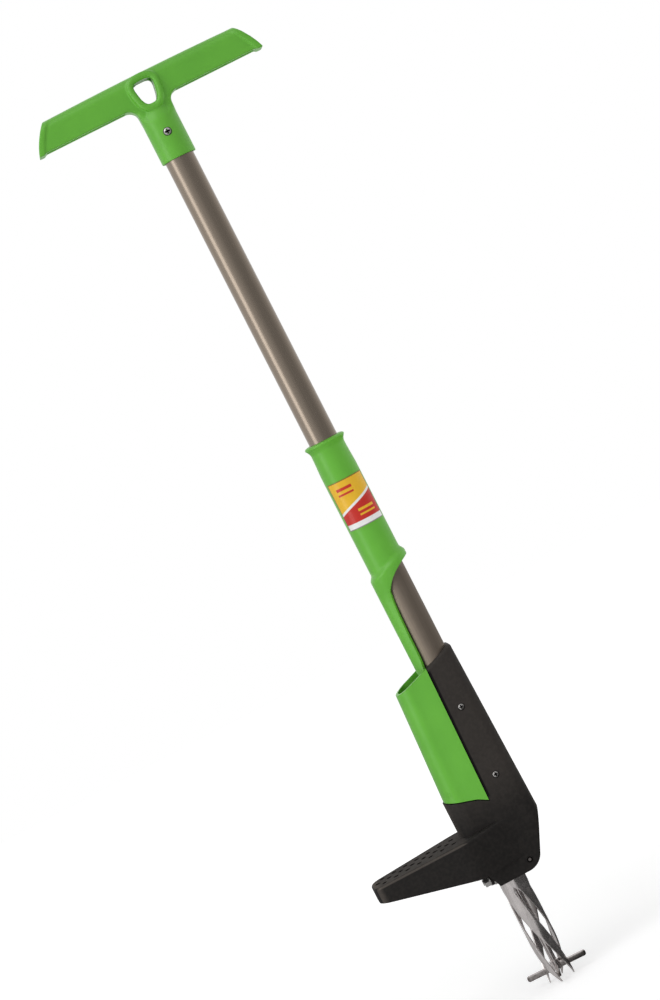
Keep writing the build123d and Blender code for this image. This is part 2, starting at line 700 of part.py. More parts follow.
def slot_section(z, turn):
    """Flat section of the gap between two tines at one level."""
    lead, lag = span_at(z)
    pitch = 360 / TINE_COUNT
    start = radians(tine_angle_at(z) + lead + turn)
    end = radians(tine_angle_at(z) + pitch - lag + turn)
    inner = tine_r - 2 * TINE_WALL
    outer = 2 * tine_r
    corners = [(inner, start), (outer, start), (outer, end), (inner, end)]
    points = [(tine_x + r * cos(a), r * sin(a), z) for r, a in corners]
    return make_face(Polyline(points, close=True))


def tine_tube():
    """Tube slit into twisted, pointed tines."""
    tube = post(tine_x, 0, tine_tip, plate_top, tine_r)
    tube -= post(tine_x, 0, tine_tip, plate_top, tine_r - TINE_WALL)
    levels = [slot_top - (TINE_LENGTH + TINE_WALL) * i / SLOT_STEPS for i in range(SLOT_STEPS + 1)]
    for index in range(TINE_COUNT):
        turn = 360 / TINE_COUNT * index
        tube -= loft([slot_section(z, turn) for z in levels], ruled=True)
    return tube


def rod_bush():
    """Flanged bush that guides the rod, held between the foot's halves."""
    bush = post(tine_x, 0, web_bottom, bush_top(), bush_r)
    bush += post(tine_x, 0, web_bottom - BUSH_FLANGE_HEIGHT, web_bottom, BUSH_FLANGE_DIAMETER / 2)
    return bush - post(tine_x, 0, web_bottom - 2 * PAST, bush_top() + PAST, rod_r + ROD_CLEARANCE)


# Levels of the sliding grip, stacked on the foot's ledge
box_top_front = ledge_front_z + BOX_HEIGHT
box_top_back = box_top_front + BOX_RIM_RISE
lip_z = box_top_back + STRIP_LENGTH + SKIRT_FALL / 2
grip_top = lip_z + SLEEVE_LENGTH
box_half = body_half + BOX_PROUD
floor_bottom = ledge_at(tine_x) + BOX_FLOOR_HEIGHT
floor_top = floor_bottom + BOX_FLOOR


def skirt_plane(drop):
    """Plane across the grip's flared skirt, high at the back and low in front."""
    tilt = -degrees(atan2(SKIRT_FALL, 2 * sleeve_r))
    return Plane((0, 0, lip_z - SKIRT_FALL / 2 + SKIRT_HEIGHT - drop)).rotated((0, tilt, 0))


def skirt_ellipse(drop, radius):
    """Section of an upright cylinder on the skirt's plane."""
    tilt = atan2(SKIRT_FALL, 2 * sleeve_r)
    return skirt_plane(drop) * Ellipse(radius / cos(tilt), radius)


def grip_cut_out():
    """Space behind the strip's edge and under the rear lip, open to the back."""
    low = ledge_back_z - PAST
    knee_z = lip_z - CUT_KNEE_FALL
    start_z = lip_z - CUT_LENGTH
    edge_x = front_edge_at(start_z) - GUIDE_GAP
    back_x = skirt_r + PAST
    curve = Spline(
        [
            (edge_x, 0, start_z),
            (CUT_KNEE_SHARE * edge_x, 0, knee_z),
            (0, 0, lip_z - CUT_MIDDLE_FALL),
            (back_x, 0, lip_z + CUT_BACK_RISE),
        ],
        tangents=[(0, 0, 1), (1, 0, CUT_BACK_SLOPE)],
    )
    rest = Polyline(
        (back_x, 0, lip_z + CUT_BACK_RISE),
        (back_x, 0, low),
        (front_edge_at(low) - GUIDE_GAP, 0, low),
        (edge_x, 0, start_z),
    )
    return across(make_face(curve + rest), WIDE)


def grip_sleeve():
    """Sleeve with its top flange, flared skirt and the strip down the tube's front."""
    solid = post(0, 0, lip_z - SKIRT_FALL, grip_top, sleeve_r)
    flange_bottom = grip_top - FLANGE_HEIGHT
    rim_bottom = grip_top - FLANGE_RIM
    flare = Cone(sleeve_r, sleeve_r + FLANGE_PROUD, rim_bottom - flange_bottom)
    solid += Pos(0, 0, (flange_bottom + rim_bottom) / 2) * flare
    solid += post(0, 0, rim_bottom, grip_top, sleeve_r + FLANGE_PROUD)
    solid += loft([skirt_ellipse(0, sleeve_r), skirt_ellipse(SKIRT_HEIGHT, skirt_r)])
    outer = post(0, 0, ledge_back_z - PAST, lip_z + WIDE, skirt_r)
    solid += outer & extrude(skirt_ellipse(SKIRT_HEIGHT, 2 * skirt_r), TUBE_LENGTH, dir=(0, 0, -1))
    inner = post(0, 0, ledge_back_z - 2 * PAST, lip_z + WIDE, strip_inner_r)
    under_skirt = skirt_ellipse(SKIRT_HEIGHT + STRIP_WALL, 2 * skirt_r)
    solid -= inner & extrude(under_skirt, TUBE_LENGTH, dir=(0, 0, -1))
    solid -= post(0, 0, ledge_back_z - 2 * PAST, grip_top + PAST, bore_r)
    return solid - grip_cut_out()


def box_outline():
    """Everything under the box's slanted rim and in front of the housing's edges."""
    rim_slope = BOX_RIM_RISE / (-skirt_r - box_front_at(box_top_front))
    far_front = nose_x - PAST
    rim_front = box_top_front + rim_slope * (far_front - box_front_at(box_top_front))
    rim_back = box_top_front + rim_slope * (front_top_x - box_front_at(box_top_front))
    low = ledge_back_z - PAST
    points = [
        (far_front, rim_front),
        (front_edge_at(rim_back) - GUIDE_GAP, rim_back),
        (front_edge_at(low) - GUIDE_GAP, low),
        (far_front, low),
    ]
    return across(upright(points), WIDE)


def box_form(inset):
    """Leaning U-shaped column of the box, drawn in by a wall."""
    low = ledge_back_z - PAST
    high = box_top_back + WIDE / 2
    half = box_half - inset
    sections = [rounded_section(z, box_front_at(z) + inset, 0, half, BOX_ROUND - inset) for z in (low, high)]
    return loft(sections, ruled=True)


def slider_grip():
    """One moulding: sleeve, strip and the box that carries the ejector rod."""
    floor = block((nose_x, 0), (-box_half, box_half), (floor_bottom, floor_top))
    walls = box_form(0) - (box_form(BOX_WALL) - floor)
    walls &= box_outline()
    walls -= post(0, 0, ledge_back_z - PAST, box_top_back + WIDE, strip_inner_r)
    solid = (walls + grip_sleeve()) & clear_of_ledge()
    return solid - post(tine_x, 0, floor_bottom - PAST, floor_top + PAST, M6_DIAMETER / 2 + ROD_CLEARANCE)


def clear_of_ledge():
    """Everything above the foot's ledge by the stop gap."""
    far_front = nose_x - PAST
    points = [
        (far_front, grip_top + PAST),
        (far_front, ledge_at(far_front) + STOP_GAP),
        (kink_x, ledge_kink_z + STOP_GAP),
        (front_ledge_x, ledge_back_z + STOP_GAP),
        (WIDE, ledge_back_z + STOP_GAP),
        (WIDE, grip_top + PAST),
    ]
    return across(upright(points), WIDE)


def label():
    """Thin sticker round the front of the sleeve."""
    top = grip_top - LABEL_TOP_GAP
    inner = sleeve_r + LABEL_GLUE
    ring = post(0, 0, top - LABEL_HEIGHT, top, inner + LABEL_THICKNESS)
    ring -= post(0, 0, top - LABEL_HEIGHT, top, inner)
    reach = 4 * sleeve_r
    turns = [radians(-90 + LABEL_WRAP * share) for share in (-0.5, -0.25, 0, 0.25, 0.5)]
    fan = [(0, 0, top - LABEL_HEIGHT)] + [(reach * cos(a), reach * sin(a), top - LABEL_HEIGHT) for a in turns]
    return ring & extrude(make_face(Polyline(fan, close=True)), LABEL_HEIGHT)


def rod_stack():
    """Levels of the rod's collar, washers and nut about the box's floor."""
    low_washer = floor_bottom - ROD_CLEARANCE - M6_WASHER_HEIGHT
    high_washer = floor_top + ROD_CLEARANCE
    return low_washer, high_washer, high_washer + M6_WASHER_HEIGHT


def ejector_rod():
    """Rod with a collar under the box's floor, a threaded top and a slotted head that holds the star."""
    low_washer, high_washer, nut_bottom = rod_stack()
    rod = post(tine_x, 0, star_top, low_washer, rod_r)
    head = post(0, 0, star_bottom, star_top + STAR_HEAD_HEIGHT, STAR_HEAD_DIAMETER / 2)
    slot_half = STAR_THICKNESS / 2 + STAR_CLEARANCE
    slot_x = (-STAR_HEAD_DIAMETER, STAR_HEAD_DIAMETER)
    for turn in (0, 90):
        head -= Rot(0, 0, turn) * block(slot_x, (-slot_half, slot_half), (star_bottom - PAST, star_top))
    rod += Pos(tine_x, 0, 0) * Rot(0, 0, star_angle()) * head
    rod += post(tine_x, 0, low_washer - ROD_COLLAR_HEIGHT, low_washer, ROD_COLLAR_DIAMETER / 2)
    return rod + post(tine_x, 0, low_washer, nut_bottom + M6_NUT_HEIGHT + STUD_END, M6_DIAMETER / 2)


def rod_washers():
    """Washers under and over the box's floor."""
    low_washer, high_washer, nut_bottom = rod_stack()
    washer = post(tine_x, 0, 0, M6_WASHER_HEIGHT, washer_r)
    washer -= post(tine_x, 0, -PAST, PAST, M6_DIAMETER / 2 + SCREW_CLEARANCE)
    return [Pos(0, 0, level) * washer for level in (low_washer, high_washer)]


def rod_lock_nut():
    """Nut on the rod's threaded top."""
    nut_bottom = rod_stack()[2]
    nut = Pos(tine_x, 0, nut_bottom) * hex_prism(M6_NUT_FLATS, M6_NUT_HEIGHT)
    return nut - post(tine_x, 0, nut_bottom - PAST, nut_bottom + WIDE, M6_DIAMETER / 2 + SCREW_CLEARANCE)


def star_bar(angle, notch_low, notch_high):
    """Flat bar on edge through the rod's axis, half lapped at its middle."""
    bar = Box(STAR_LENGTH, STAR_THICKNESS, STAR_HEIGHT)
    bar = chamfer(bar.edges().filter_by(Axis.Y), STAR_CHAMFER)
    notch_half = STAR_THICKNESS / 2 + STAR_CLEARANCE
    bar -= block((-notch_half, notch_half), (-PAST, PAST), (notch_low, notch_high))
    return Pos(tine_x, 0, star_z) * Rot(0, 0, angle) * bar


def star_angle():
    """Rest angle of the long bar: in a gap between tines, behind the gap's middle by the lag."""
    return tine_angle_at(star_z) + 180 / TINE_COUNT - STAR_LAG


foot_shell_left, foot_shell_right = foot_shells()
nodes = {
    "t_handle": t_handle(),
    "handle_screw": handle_screw(),
    "shaft_tube": shaft_tube(),
    "foot_shell_left": foot_shell_left,
    "foot_shell_right": foot_shell_right,
    "shell_screws": Compound(children=shell_screws()),
    "shell_nuts": Compound(children=shell_nuts()),
    "pedal_screws": Compound(children=pedal_screws()),
    "rear_pin": rear_pin(),
    "base_plate": base_plate(),
    "front_stud": front_stud(),
    "front_washer": front_washer(),
    "front_nut": front_nut(),
    "tine_tube": tine_tube(),
    "rod_bush": rod_bush(),
    "slider_grip": slider_grip(),
    "label": label(),
    "ejector_rod": ejector_rod(),
    "rod_washers": Compound(children=rod_washers()),
    "rod_lock_nut": rod_lock_nut(),
    "star_bar_long": star_bar(star_angle(), -STAR_HEIGHT, STAR_CLEARANCE),
    "star_bar_cross": star_bar(star_angle() + 90, -STAR_CLEARANCE, STAR_HEIGHT),
}

os.makedirs("parts", exist_ok=True)
for name, shape in nodes.items():
    export_step(shape, os.path.join("parts", name + ".step"))
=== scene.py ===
"""Weed puller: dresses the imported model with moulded, pressed and turned pieces, their finishes and a studio.

Every surface is worked out with numpy in metres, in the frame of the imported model: +Z runs up the tube, -X is
the pedal's side, and the origin is the bearing edge of the hang hole on the tube's axis.
"""

import math

import bmesh
import bpy
import numpy as np
from mathutils import Matrix, Vector


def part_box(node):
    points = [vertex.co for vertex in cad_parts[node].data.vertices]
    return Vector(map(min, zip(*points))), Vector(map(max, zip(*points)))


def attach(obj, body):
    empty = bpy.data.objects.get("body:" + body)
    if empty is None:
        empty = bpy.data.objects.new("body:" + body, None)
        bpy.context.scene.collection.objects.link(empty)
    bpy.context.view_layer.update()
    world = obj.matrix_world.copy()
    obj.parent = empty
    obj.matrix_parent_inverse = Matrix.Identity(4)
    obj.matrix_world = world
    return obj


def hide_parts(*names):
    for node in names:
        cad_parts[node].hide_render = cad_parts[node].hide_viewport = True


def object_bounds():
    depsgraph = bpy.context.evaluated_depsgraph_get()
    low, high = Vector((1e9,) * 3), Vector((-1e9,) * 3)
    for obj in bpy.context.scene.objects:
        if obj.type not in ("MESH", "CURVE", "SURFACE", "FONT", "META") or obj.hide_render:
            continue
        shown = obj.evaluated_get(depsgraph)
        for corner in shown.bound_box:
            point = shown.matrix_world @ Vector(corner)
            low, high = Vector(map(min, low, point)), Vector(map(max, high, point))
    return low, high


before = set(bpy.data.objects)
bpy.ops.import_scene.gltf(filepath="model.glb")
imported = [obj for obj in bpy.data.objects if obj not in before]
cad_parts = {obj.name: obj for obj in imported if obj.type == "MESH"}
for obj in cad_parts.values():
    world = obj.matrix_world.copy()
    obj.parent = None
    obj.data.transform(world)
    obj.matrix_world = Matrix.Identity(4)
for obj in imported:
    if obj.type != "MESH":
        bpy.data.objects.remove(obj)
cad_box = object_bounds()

bl_info = {
    "name": "Weed puller",
    "version": (1, 0, 0),
    "blender": (4, 5, 0),
    "location": "View3D > Sidebar > Weed puller",
    "description": "Builds the weed puller's visible pieces, finishes and studio on its packed model",
    "category": "Add Mesh",
}

handle_low, handle_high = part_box("t_handle")
tube_low, tube_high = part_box("shaft_tube")
grip_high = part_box("slider_grip")[1]
label_low, label_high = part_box("label")
tine_low, tine_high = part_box("tine_tube")
star_low, star_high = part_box("star_bar_long")
foot_low, foot_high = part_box("foot_shell_left")
pin_low, pin_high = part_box("rear_pin")
handle_screw_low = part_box("handle_screw")[0]
shell_screws_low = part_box("shell_screws")[0]
tine_x = (tine_low.x + tine_high.x) / 2
star_out = (star_high.x - star_low.x) / 2
label_half = math.atan2(label_high.x, -label_high.y)


# Settings

def number(name, description, default, **kind):
    """Property for a number, with its unit where it has one."""
    return bpy.props.FloatProperty(name=name, description=description, default=default, **kind)


def length(name, description, default):
    """Property for a length in metres."""
    return number(name, description, default, unit="LENGTH", precision=5)


def angle(name, description, degrees):
    """Property for an angle, given in degrees and kept in radians."""
    return number(name, description, math.radians(degrees), unit="ROTATION")


def lamp_power(name, description, default):
    """Property for a lamp's power in watts."""
    return number(name, description, default, unit="POWER")


def colour(name, description, default):
    """Property for a linear colour."""
    kind = {"size": 3, "subtype": "COLOR", "min": 0.0, "max": 1.0}
    return bpy.props.FloatVectorProperty(name=name, description=description, default=default, **kind)


class HandleSizes(bpy.types.PropertyGroup):
    """Sizes of the T-handle that a user would change."""

    bar_top_half: length("Bar top", "Half length of the bar along its top", 0.1030)
    bar_low_half: length("Bar bottom", "Half length of the bar along its bottom", handle_high.x)
    bar_top: length("Top level", "Level of the bar's top", handle_high.z)
    bar_low: length("Bottom level", "Level of the bar's bottom", -0.022)
    bar_half_depth: length("Half depth", "Half depth of the bar from front to back", 0.011)
    shoulder: length("Shoulder", "Radius of the bar's upper edges", 0.0098)
    wall: length("Wall", "Wall of the bar's top, half that of its sides", 0.003)
    hole_top_half: length("Hole top", "Half width of the hang hole at its top", 0.0117)
    hole_low_half: length("Hole bottom", "Half width of the hang hole at its bottom", 0.0066)
    hole_height: length("Hole height", "Height of the hang hole", 0.0247)
    socket_radius: length("Socket", "Outer radius of the tube socket", handle_high.y)
    socket_bore: length("Socket bore", "Inner radius of the tube socket", 0.0151)


class GripSizes(bpy.types.PropertyGroup):
    """Sizes of the sliding grip that a user would change."""

    sleeve_radius: length("Sleeve", "Outer radius of the sleeve", 0.0190)
    bore_radius: length("Bore", "Inner radius of the sleeve", 0.0153)
    flange_proud: length("Flange", "How far the top flange stands out", 0.00225)
    sleeve_top: length("Sleeve top", "Level of the flange's top", grip_high.z - 0.0026)
    flange_height: length("Flange height", "Height of the flange's flare", 0.0070)
    skirt_radius: length("Skirt", "Outer radius of the flared skirt and the strip", grip_high.x)
    skirt_height: length("Skirt height", "Height of the flare above the skirt's crest", 0.0070)
    lip_level: length("Lip", "Level of the rear lip's crest", -0.5230)
    box_half: length("Box half width", "Half width of the box", 0.0203)
    box_round: length("Box corner", "Radius of the box's front corners", 0.0180)
    box_wall: length("Box wall", "Wall of the box", 0.0030)
    box_front_low: length("Box foot", "Front of the box at the ledge", -0.0571)
    box_lean: length("Box lean", "How far the front leans back at its rim", 0.0061)
    box_top: length("Box rim", "Level of the rim in front", -0.6475)
    rim_rise: length("Rim rise", "Rise of the rim to the strip", 0.0100)
    floor_level: length("Floor", "Level of the floor in the box", -0.7543)


class FastenerSizes(bpy.types.PropertyGroup):
    """Sizes of the screws that a user would change."""

    head_height: length("Head", "Height of a screw's head", 0.0026)
    handle_shank: length("Handle screw", "Shank radius of the handle's screw", 0.0021)
    shell_shank: length("Foot screws", "Shank radius of the foot's screws", 0.0025)
    recess_depth: length("Recess", "Depth of the cross recess", 0.0010)


class TineSizes(bpy.types.PropertyGroup):
    """Sizes of the tines and the star that a user would change."""

    radius: length("Radius", "Outer radius of the slit tube", (tine_high.x - tine_low.x) / 2)
    wall: length("Wall", "Wall of the slit tube", 0.0020)
    slot_top: length("Slot tops", "Level at which the slots start", -0.8720)
    root_angle: angle("Root angle", "Middle of the first tine at the slot tops", -145.0)
    twist: number("Twist", "Degrees of twist per millimetre", 1.25)
    star_half: length("Star", "Half length of the star's bars", 0.0320)
    star_half_width: length("Bar width", "Half width of the star's bars", 0.0018)
    star_angle: angle("Star angle", "Angle of the long bar", -6.75)


class Finishes(bpy.types.PropertyGroup):
    """Colours of the finishes."""

    green: colour("Green", "Moulded handle and grip", (0.130, 0.470, 0.033))
    green_shade: colour("Green shade", "Deeper tone in the moulding's flow", (0.112, 0.425, 0.028))
    tube: colour("Tube", "Champagne tone of the tube", (0.275, 0.228, 0.184))
    tube_streak: colour("Tube streak", "Drawing streaks on the tube", (0.235, 0.195, 0.157))
    black: colour("Black", "Moulded foot", (0.0076, 0.0068, 0.0064))
    # Warm dark grey: the tread's dust, wear and painted highlight on the foot's edges and tip, a painted
    # highlight along the hub's rear edge, the pin's dark tone, and on the star its scale and painted shade at
    # the cut ends
    warm_dark_grey: colour("Dusty black", "Rubbed tread and edges", (0.105, 0.088, 0.076))
    # Near black for painted shade: the tread's dimples, and a painted shadow line beside the grip's box
    black_painted_shade: colour("Seam", "Dimples and the seam along the grip's box", (0.0040, 0.0038, 0.0036))
    steel: colour("Steel", "Tines, rod and star", (0.680, 0.640, 0.630))
    steel_shade: colour("Steel shade", "Streaks in the steel", (0.430, 0.400, 0.390))
    zinc: colour("Zinc", "Plated screws and nuts", (0.520, 0.515, 0.500))
    nylon: colour("Nylon", "Guide bush", (0.700, 0.690, 0.650))
    label_red: colour("Label red", "Ground of the label", (0.560, 0.022, 0.012))
    label_yellow: colour("Label yellow", "Fields of the label", (0.830, 0.480, 0.020))
    label_white: colour("Label white", "Foot band of the label", (0.860, 0.860, 0.840))
    label_ink: colour("Label edge", "Dark line round the label", (0.060, 0.030, 0.020))


class StageSetup(bpy.types.PropertyGroup):
    """Camera and lamps."""

    azimuth: angle("Azimuth", "Direction of the camera round the tube", -4.23)
    elevation: angle("Elevation", "Height of the camera above the horizon", 3.75)
    roll: angle("Roll", "Tilt of the picture", 27.07)
    distance: length("Distance", "From the camera to its target", 2.5)
    focal_share: number("Focal share", "Focal length over picture height", 2.5506)
    target_x: length("Target X", "Middle of the picture", -0.02099)
    target_z: length("Target Z", "Middle of the picture", -0.44572)
    key: lamp_power("Key", "Upright soft lamp at the left", 6.5)
    top: lamp_power("Top", "Soft lamp above", 8.5)
    side: lamp_power("Side", "Upright soft lamp at the right, left out of reflections", 5.6)
    low: lamp_power("Low", "Soft lamp low in front, left out of reflections", 2.1)
    ambient: number("Ambient", "Level of the room's own light", 0.45)
    front_tone: number("Front card", "Darkest tone of the room in front", 0.44)
    table_tone: number("Table card", "Tone of the table at the right", 0.06)


class WeedPullerSettings(bpy.types.PropertyGroup):
    """All settings of the weed puller."""

    handle: bpy.props.PointerProperty(type=HandleSizes)
    grip: bpy.props.PointerProperty(type=GripSizes)
    fasteners: bpy.props.PointerProperty(type=FastenerSizes)
    tines: bpy.props.PointerProperty(type=TineSizes)
    finishes: bpy.props.PointerProperty(type=Finishes)
    stage: bpy.props.PointerProperty(type=StageSetup)


def settings():
    """Settings kept on the scene."""
    return bpy.context.scene.weed_puller


# Surfaces

# Distance at which doubles merge, and steps round a turned form
MERGE, ROUND = 1e-6, 96


def ease(t):
    """Smooth step 3t^2 - 2t^3, level outside 0 to 1."""
    t = np.clip(t, 0.0, 1.0)
    return t * t * (3.0 - 2.0 * t)


def squared(t, exponent):
    """Signed power: a cosine and sine so treated trace a circle squared off towards a rectangle."""
    return np.sign(t) * np.abs(t) ** exponent


def turn(count):
    """Equal steps round a full turn, the start not repeated."""
    return np.linspace(0.0, 2.0 * np.pi, count, endpoint=False)


def stacked(x, y, z):
    """Grid of points from three arrays that are spread to one shape."""
    return np.stack(np.broadcast_arrays(x, y, z), axis=-1)


def loops(half_x, half_y, levels, x=0.0, power=1.0, count=ROUND):
    """Loops round z, one to a level: ellipses, squared off where the power is below 1."""
    a = turn(count)[None]
    return stacked(x + half_x * squared(np.cos(a), power), half_y * squared(np.sin(a), power), levels)


def smooth_path(points, steps):
    """Cubic Hermite curve through the points, each tangent half the chord between its neighbours."""
    points = np.asarray(points, float)
    tangents = np.gradient(points, axis=0)
    t = np.linspace(0.0, 1.0, steps, endpoint=False)[:, None]
    basis = (2 * t**3 - 3 * t**2 + 1, t**3 - 2 * t**2 + t, 3 * t**2 - 2 * t**3, t**3 - t**2)
    ends = (points[:-1], tangents[:-1], points[1:], tangents[1:])
    curve = sum(b[None] * e[:, None] for b, e in zip(basis, ends))
    return np.concatenate([curve.reshape(-1, points.shape[1]), points[-1:]])


def quads(rows, columns, wrap_rows, wrap_columns):
    """Vertex numbers of a grid's quads, as whole arrays."""
    row_range = np.arange(rows if wrap_rows else rows - 1)
    column_range = np.arange(columns if wrap_columns else columns - 1)
    down, across = np.meshgrid(row_range, column_range, indexing="ij")
    next_down = (down + 1) % rows * columns
    next_across = (across + 1) % columns
    here = down * columns
    corners = [here + across, here + next_across, next_down + next_across, next_down + across]
    return np.stack(corners, axis=-1).reshape(-1, 4)


class Patch:
    """A grid of points with the ways in which it closes on itself."""

    def __init__(self, grid, wrap_rows=False, wrap_columns=False, caps=False):
        self.grid = grid
        self.wrap_rows = wrap_rows
        self.wrap_columns = wrap_columns
        self.caps = caps

    def faces(self, start):
        """Faces with vertex numbers from start on, end caps included."""
        rows, columns = self.grid.shape[:2]
        found = (quads(rows, columns, self.wrap_rows, self.wrap_columns) + start).tolist()
        if self.caps:
            first = np.arange(columns) + start
            found += [first.tolist(), (first + (rows - 1) * columns).tolist()]
        return found


def solid(grid):
    """Closed patch: sections carried along a path, each a loop, with both ends capped."""
    return Patch(grid, wrap_columns=True, caps=True)


def torus(grid):
    """Patch that closes both ways."""
    return Patch(grid, wrap_rows=True, wrap_columns=True)


def shell(outer, inner, split=0):
    """Wall between two grids: both faces, the end rows, and the side columns from row split on."""
    edges = [(outer[0], inner[0]), (outer[-1], inner[-1])]
    edges += [(outer[split:, side], inner[split:, side]) for side in (0, -1)]
    return [Patch(outer), Patch(inner)] + [Patch(np.stack(pair)) for pair in edges]


def make_object(name, patches):
    """Object from patches, with doubles merged and faces turned outwards."""
    points, faces, start = [], [], 0
    for patch in patches:
        points.append(patch.grid.reshape(-1, 3))
        faces += patch.faces(start)
        start += len(points[-1])
    mesh = bpy.data.meshes.new(name)
    mesh.from_pydata(np.concatenate(points).tolist(), [], faces)
    work = bmesh.new()
    work.from_mesh(mesh)
    bmesh.ops.remove_doubles(work, verts=work.verts, dist=MERGE)
    bmesh.ops.recalc_face_normals(work, faces=work.faces)
    work.to_mesh(mesh)
    work.free()
    obj = bpy.data.objects.new(name, mesh)
    bpy.context.scene.collection.objects.link(obj)
    return obj


def rounded(obj, width, sharp_from):
    """Rounds the edges of a piece that are sharp from an angle in degrees."""
    bevel = obj.modifiers.new("Rounded edges", "BEVEL")
    bevel.width = width
    bevel.segments = 3
    bevel.limit_method = "ANGLE"
    bevel.angle_limit = math.radians(sharp_from)
    bevel.harden_normals = True
    obj.data.shade_smooth()


def melted(obj, voxel, passes):
    """Melts overlapping forms into one skin and softens its edges, as a moulding has them."""
    union = obj.modifiers.new("Union", "REMESH")
    union.mode = "VOXEL"
    union.voxel_size = voxel
    union.use_smooth_shade = True
    soften = obj.modifiers.new("Soft edges", "SMOOTH")
    soften.factor = 0.5
    soften.iterations = passes
    bpy.context.view_layer.update()
    made = obj.evaluated_get(bpy.context.evaluated_depsgraph_get())
    mesh = bpy.data.meshes.new_from_object(made)
    obj.modifiers.clear()
    obj.data = mesh
    obj.data.shade_smooth()


def dress(obj, body, slot, node, look=None):
    """Gives a new piece its finish and its body, and hides the imported node that it stands for."""
    obj.data.materials.append(material(look or slot))
    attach(obj, body)
    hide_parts(node)


def smooth_piece(name, patches, *dressing, sharp_from):
    """Dressed piece with smooth shading and edges kept sharp from an angle in degrees."""
    obj = make_object(name, patches)
    obj.data.shade_smooth()
    obj.data.set_sharp_from_angle(angle=math.radians(sharp_from))
    dress(obj, *dressing)


# Finishes

def arithmetic(operation, swapped=False):
    """Method of Wire that adds a Math node for a sign."""

    def method(self, other):
        first, second = (other, self) if swapped else (self, other)
        return self.maths(operation, first, second)

    return method


class Wire:
    """A shader value. Arithmetic on it adds Math nodes; node() adds any other node to its tree."""

    __add__, __radd__ = arithmetic("ADD"), arithmetic("ADD", swapped=True)
    __sub__, __rsub__ = arithmetic("SUBTRACT"), arithmetic("SUBTRACT", swapped=True)
    __mul__, __rmul__ = arithmetic("MULTIPLY"), arithmetic("MULTIPLY", swapped=True)
    __truediv__ = arithmetic("DIVIDE")

    def __init__(self, tree, socket=None):
        self.tree = tree
        self.socket = socket

    def node(self, kind, inputs=None, output=0, **options):
        """Adds a node: options are set first, then its inputs get values or links."""
        made = self.tree.nodes.new(kind)
        for key, value in options.items():
            setattr(made, key, value)
        for key, value in (inputs or {}).items():
            if isinstance(value, Wire):
                self.tree.links.new(value.socket, made.inputs[key])
            else:
                made.inputs[key].default_value = value
        return Wire(self.tree, made.outputs[output] if made.outputs else None)

    def maths(self, operation, first, second=0.0):
        """Math node of an operation."""
        return self.node("ShaderNodeMath", {0: first, 1: second}, operation=operation)

    def size(self):
        """Value without its sign."""
        return self.maths("ABSOLUTE", self)

    def hypot(self, other):
        """Distance from an axis, from the two parts across it."""
        return self.maths("SQRT", self * self + other * other)

    def step(self, low, high):
        """Smooth step of the value from 0 at low to 1 at high."""
        inputs = {"Value": self, "From Min": low, "From Max": high}
        return self.node("ShaderNodeMapRange", inputs, "Result", interpolation_type="SMOOTHSTEP")

    def noise(self, scale, detail=2.0, stretch=(1.0, 1.0, 1.0)):
        """Noise at these coordinates, stretched by a share per axis."""
        place = self.node("ShaderNodeMapping", {"Vector": self, "Scale": stretch}, "Vector")
        return self.node("ShaderNodeTexNoise", {"Vector": place, "Scale": scale, "Detail": detail}, "Fac")

    def band(self, low, high, edge):
        """1 between two values and 0 outside, with soft edges."""
        return self.step(low - edge, low + edge) * (1.0 - self.step(high - edge, high + edge))

    def axes(self):
        """The three parts of a vector."""
        split = self.node("ShaderNodeSeparateXYZ", {"Vector": self})
        return [Wire(self.tree, socket) for socket in split.socket.node.outputs]

    def mix(self, first, second):
        """Colour between two, by this value."""
        tones = [tone if isinstance(tone, Wire) else (*tone, 1.0) for tone in (first, second)]
        return self.node("ShaderNodeMix", {0: self, 6: tones[0], 7: tones[1]}, 2, data_type="RGBA")

    def bump(self, strength, distance):
        """Surface normal of this height."""
        inputs = {"Height": self, "Strength": strength, "Distance": distance}
        return self.node("ShaderNodeBump", inputs, "Normal")


def finish(name, paint, constants):
    """Principled material; what varies feeds base colour, roughness and normal, the rest are constants."""
    made = bpy.data.materials.new(name)
    made.use_nodes = True
    shader = made.node_tree.nodes["Principled BSDF"]
    at = Wire(made.node_tree).node("ShaderNodeTexCoord", output="Object")
    varied = paint(at, settings().finishes)
    for socket, value in zip(("Base Color", "Roughness", "Normal"), varied):
        made.node_tree.links.new(value.socket, shader.inputs[socket])
    for socket, value in constants.items():
        shader.inputs[socket].default_value = value
    return made


def green_plastic(at, tones):
    """Moulded green: slow flow tones, fine grain and a satin surface."""
    flow = at.noise(26.0, 3.0)
    grain = at.noise(2300.0, 2.0)
    scuff = at.noise(160.0, 4.0, (1.0, 1.0, 0.12)).step(0.62, 0.80)
    base = (flow.step(0.3, 0.7) * 0.8 + scuff * 0.2).mix(tones.green, tones.green_shade)
    rough = 0.33 + flow * 0.10 + scuff * 0.08
    return base, rough, (grain + scuff * 0.5).bump(0.22, 0.00006)


# Dull zone of the tube: how far its ends lie below the foot's top and the lip, and its soft edge
DULL_BELOW_FOOT, DULL_BELOW_LIP, DULL_EDGE = 0.020, 0.005, 0.012


def tube_metal(at, tones):
    """Drawn and anodised tube: streaks, fine speckle, a brushed sheen and a dull zone that the strip rubs."""
    dull_top = settings().grip.lip_level - DULL_BELOW_LIP
    dull = at.axes()[2].band(foot_high.z - DULL_BELOW_FOOT, dull_top, DULL_EDGE)
    streak = at.noise(900.0, 2.0, (1.0, 1.0, 0.012))
    speckle = at.noise(1500.0, 2.0)
    cloud = at.noise(14.0, 2.0, (1.0, 1.0, 0.3))
    blend = streak.step(0.25, 0.75) * 0.55 + speckle * 0.3 + cloud * 0.15
    rough = 0.20 + streak * 0.08 + speckle * 0.06 + dull * 0.26
    return blend.mix(tones.tube, tones.tube_streak), rough, (streak + speckle).bump(0.10, 0.00004)
